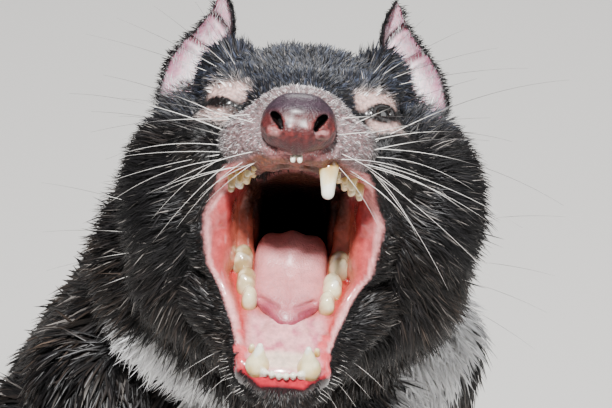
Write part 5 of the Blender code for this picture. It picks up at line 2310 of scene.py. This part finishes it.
    def build(self, ears: Sequence[tuple[Array, Array, Array]], effects: Effects) -> None:
        """Makes all the coat pieces.

        Args:
            ears: The points, triangles and marks of both ears.
            effects: The shared node groups.
        """
        finish = FUR.material(effects)
        bed = self.skin_bed()
        for number, part in enumerate(Part):
            chosen = np.flatnonzero(bed.grown["part"] == number)
            pieces = max(1, math.ceil(len(chosen) / self.limit))
            for index in range(pieces):
                slot = "face_coat" if part is Part.HEAD else "black_coat"
                self.plant(f"coat_{part.value}_{index + 1}", slot, bed.some(chosen[index::pieces]), finish)
        for (side, name), ear in zip(SIDES, ears):
            self.plant(f"coat_{name}_ear", "face_coat", self.ear_bed(side, ear), finish)


@dataclass
class Studio:
    """The pale floor, the soft lights and the camera."""

    azimuth: float = math.radians(-16)
    elevation: float = math.radians(26)
    distance: float = 1.3
    lens: float = 191.2
    aim_right: float = 0.0036
    aim_down: float = 0.007
    key_power: float = 62.0
    fill: float = 0.17

    def axes(self) -> tuple[Vector, Vector, Vector]:
        """The camera's right, up and backward directions."""
        back = Vector((
            math.sin(self.azimuth) * math.cos(self.elevation),
            -math.cos(self.azimuth) * math.cos(self.elevation),
            math.sin(self.elevation),
        ))
        right = Vector((math.cos(self.azimuth), math.sin(self.azimuth), 0))
        return right, back.cross(right), back

    def camera(self) -> None:
        """Sets up the camera."""
        right, up, back = self.axes()
        aim = WORLD @ JAW_JOINT + right * self.aim_right - up * self.aim_down
        lens = bpy.data.cameras.new("camera")
        lens.lens = self.lens
        lens.sensor_width = 36
        camera = bpy.data.objects.new("camera", lens)
        camera.matrix_world = Matrix.Translation(aim + back
            * self.distance) @ Matrix((right, up, back)).transposed().to_4x4()
        bpy.context.scene.collection.objects.link(camera)
        bpy.context.scene.camera = camera

    def light(self, name: str, azimuth: float, elevation: float, distance: float, size: float,
        power: float) -> None:
        """Places one soft light.

        Args:
            name: Its name.
            azimuth: The way it stands, in degrees.
            elevation: How high it stands, in degrees.
            distance: How far it is from the head.
            size: Its width.
            power: Its power in watts.
        """
        lamp = bpy.data.lights.new(name, "AREA")
        lamp.shape = "DISK"
        lamp.size = size
        lamp.energy = power
        turn, rise = math.radians(azimuth), math.radians(elevation)
        out = Vector((math.sin(turn) * math.cos(rise), -math.cos(turn) * math.cos(rise), math.sin(rise)))
        placed = bpy.data.objects.new(name, lamp)
        placed.matrix_world = (
            Matrix.Translation(HEAD.translation + out * distance) @ out.to_track_quat("Z",
                "Y").to_matrix().to_4x4()
        )
        bpy.context.scene.collection.objects.link(placed)

    def floor(self) -> None:
        """Lays the floor."""
        shape = bmesh.new()
        bmesh.ops.create_grid(shape, x_segments=1, y_segments=1, size=4)
        mesh = bpy.data.meshes.new("floor")
        shape.to_mesh(mesh)
        shape.free()
        matt = bpy.data.materials.new("floor")
        matt.use_nodes = True
        matt.node_tree.nodes["Principled BSDF"].inputs["Base Color"].default_value = (0.74, 0.72, 0.69, 1)
        matt.node_tree.nodes["Principled BSDF"].inputs["Roughness"].default_value = 0.8
        mesh.materials.append(matt)
        floor = bpy.data.objects.new("floor", mesh)
        bpy.context.scene.collection.objects.link(floor)

    def build(self) -> None:
        """Sets up the whole studio."""
        self.camera()
        self.light("key", -21, 53, 1.5, 0.14, self.key_power)
        self.light("fill", 60, 30, 1.8, 1.2, self.key_power * 0.18)
        self.light("rim", 160, 40, 1.8, 0.8, self.key_power * 0.35)
        self.floor()
        world = bpy.data.worlds.new("studio")
        world.use_nodes = True
        background = world.node_tree.nodes["Background"]
        background.inputs["Color"].default_value = (0.95, 0.97, 1.0, 1)
        background.inputs["Strength"].default_value = self.fill
        bpy.context.scene.world = world


def main() -> None:
    """Builds the animal piece by piece, and then the studio."""
    logging.basicConfig(level=logging.INFO, format="%(name)s %(message)s")
    flesh = Flesh()
    markings = Markings(flesh)
    effects = Effects()
    skin = Skin(flesh, markings).build(effects)
    Nose().build(effects)
    Tongue().build(effects)
    Teeth().build(effects)
    ears = Ears().build(effects)
    Eyeballs(flesh.eye).build(effects)
    Claws(flesh.legs).build(effects)
    Whiskers(skin).build(effects)
    Coat(flesh, markings, skin).build(ears, effects)
    Studio().build()


if __name__ == "__main__":
    main()
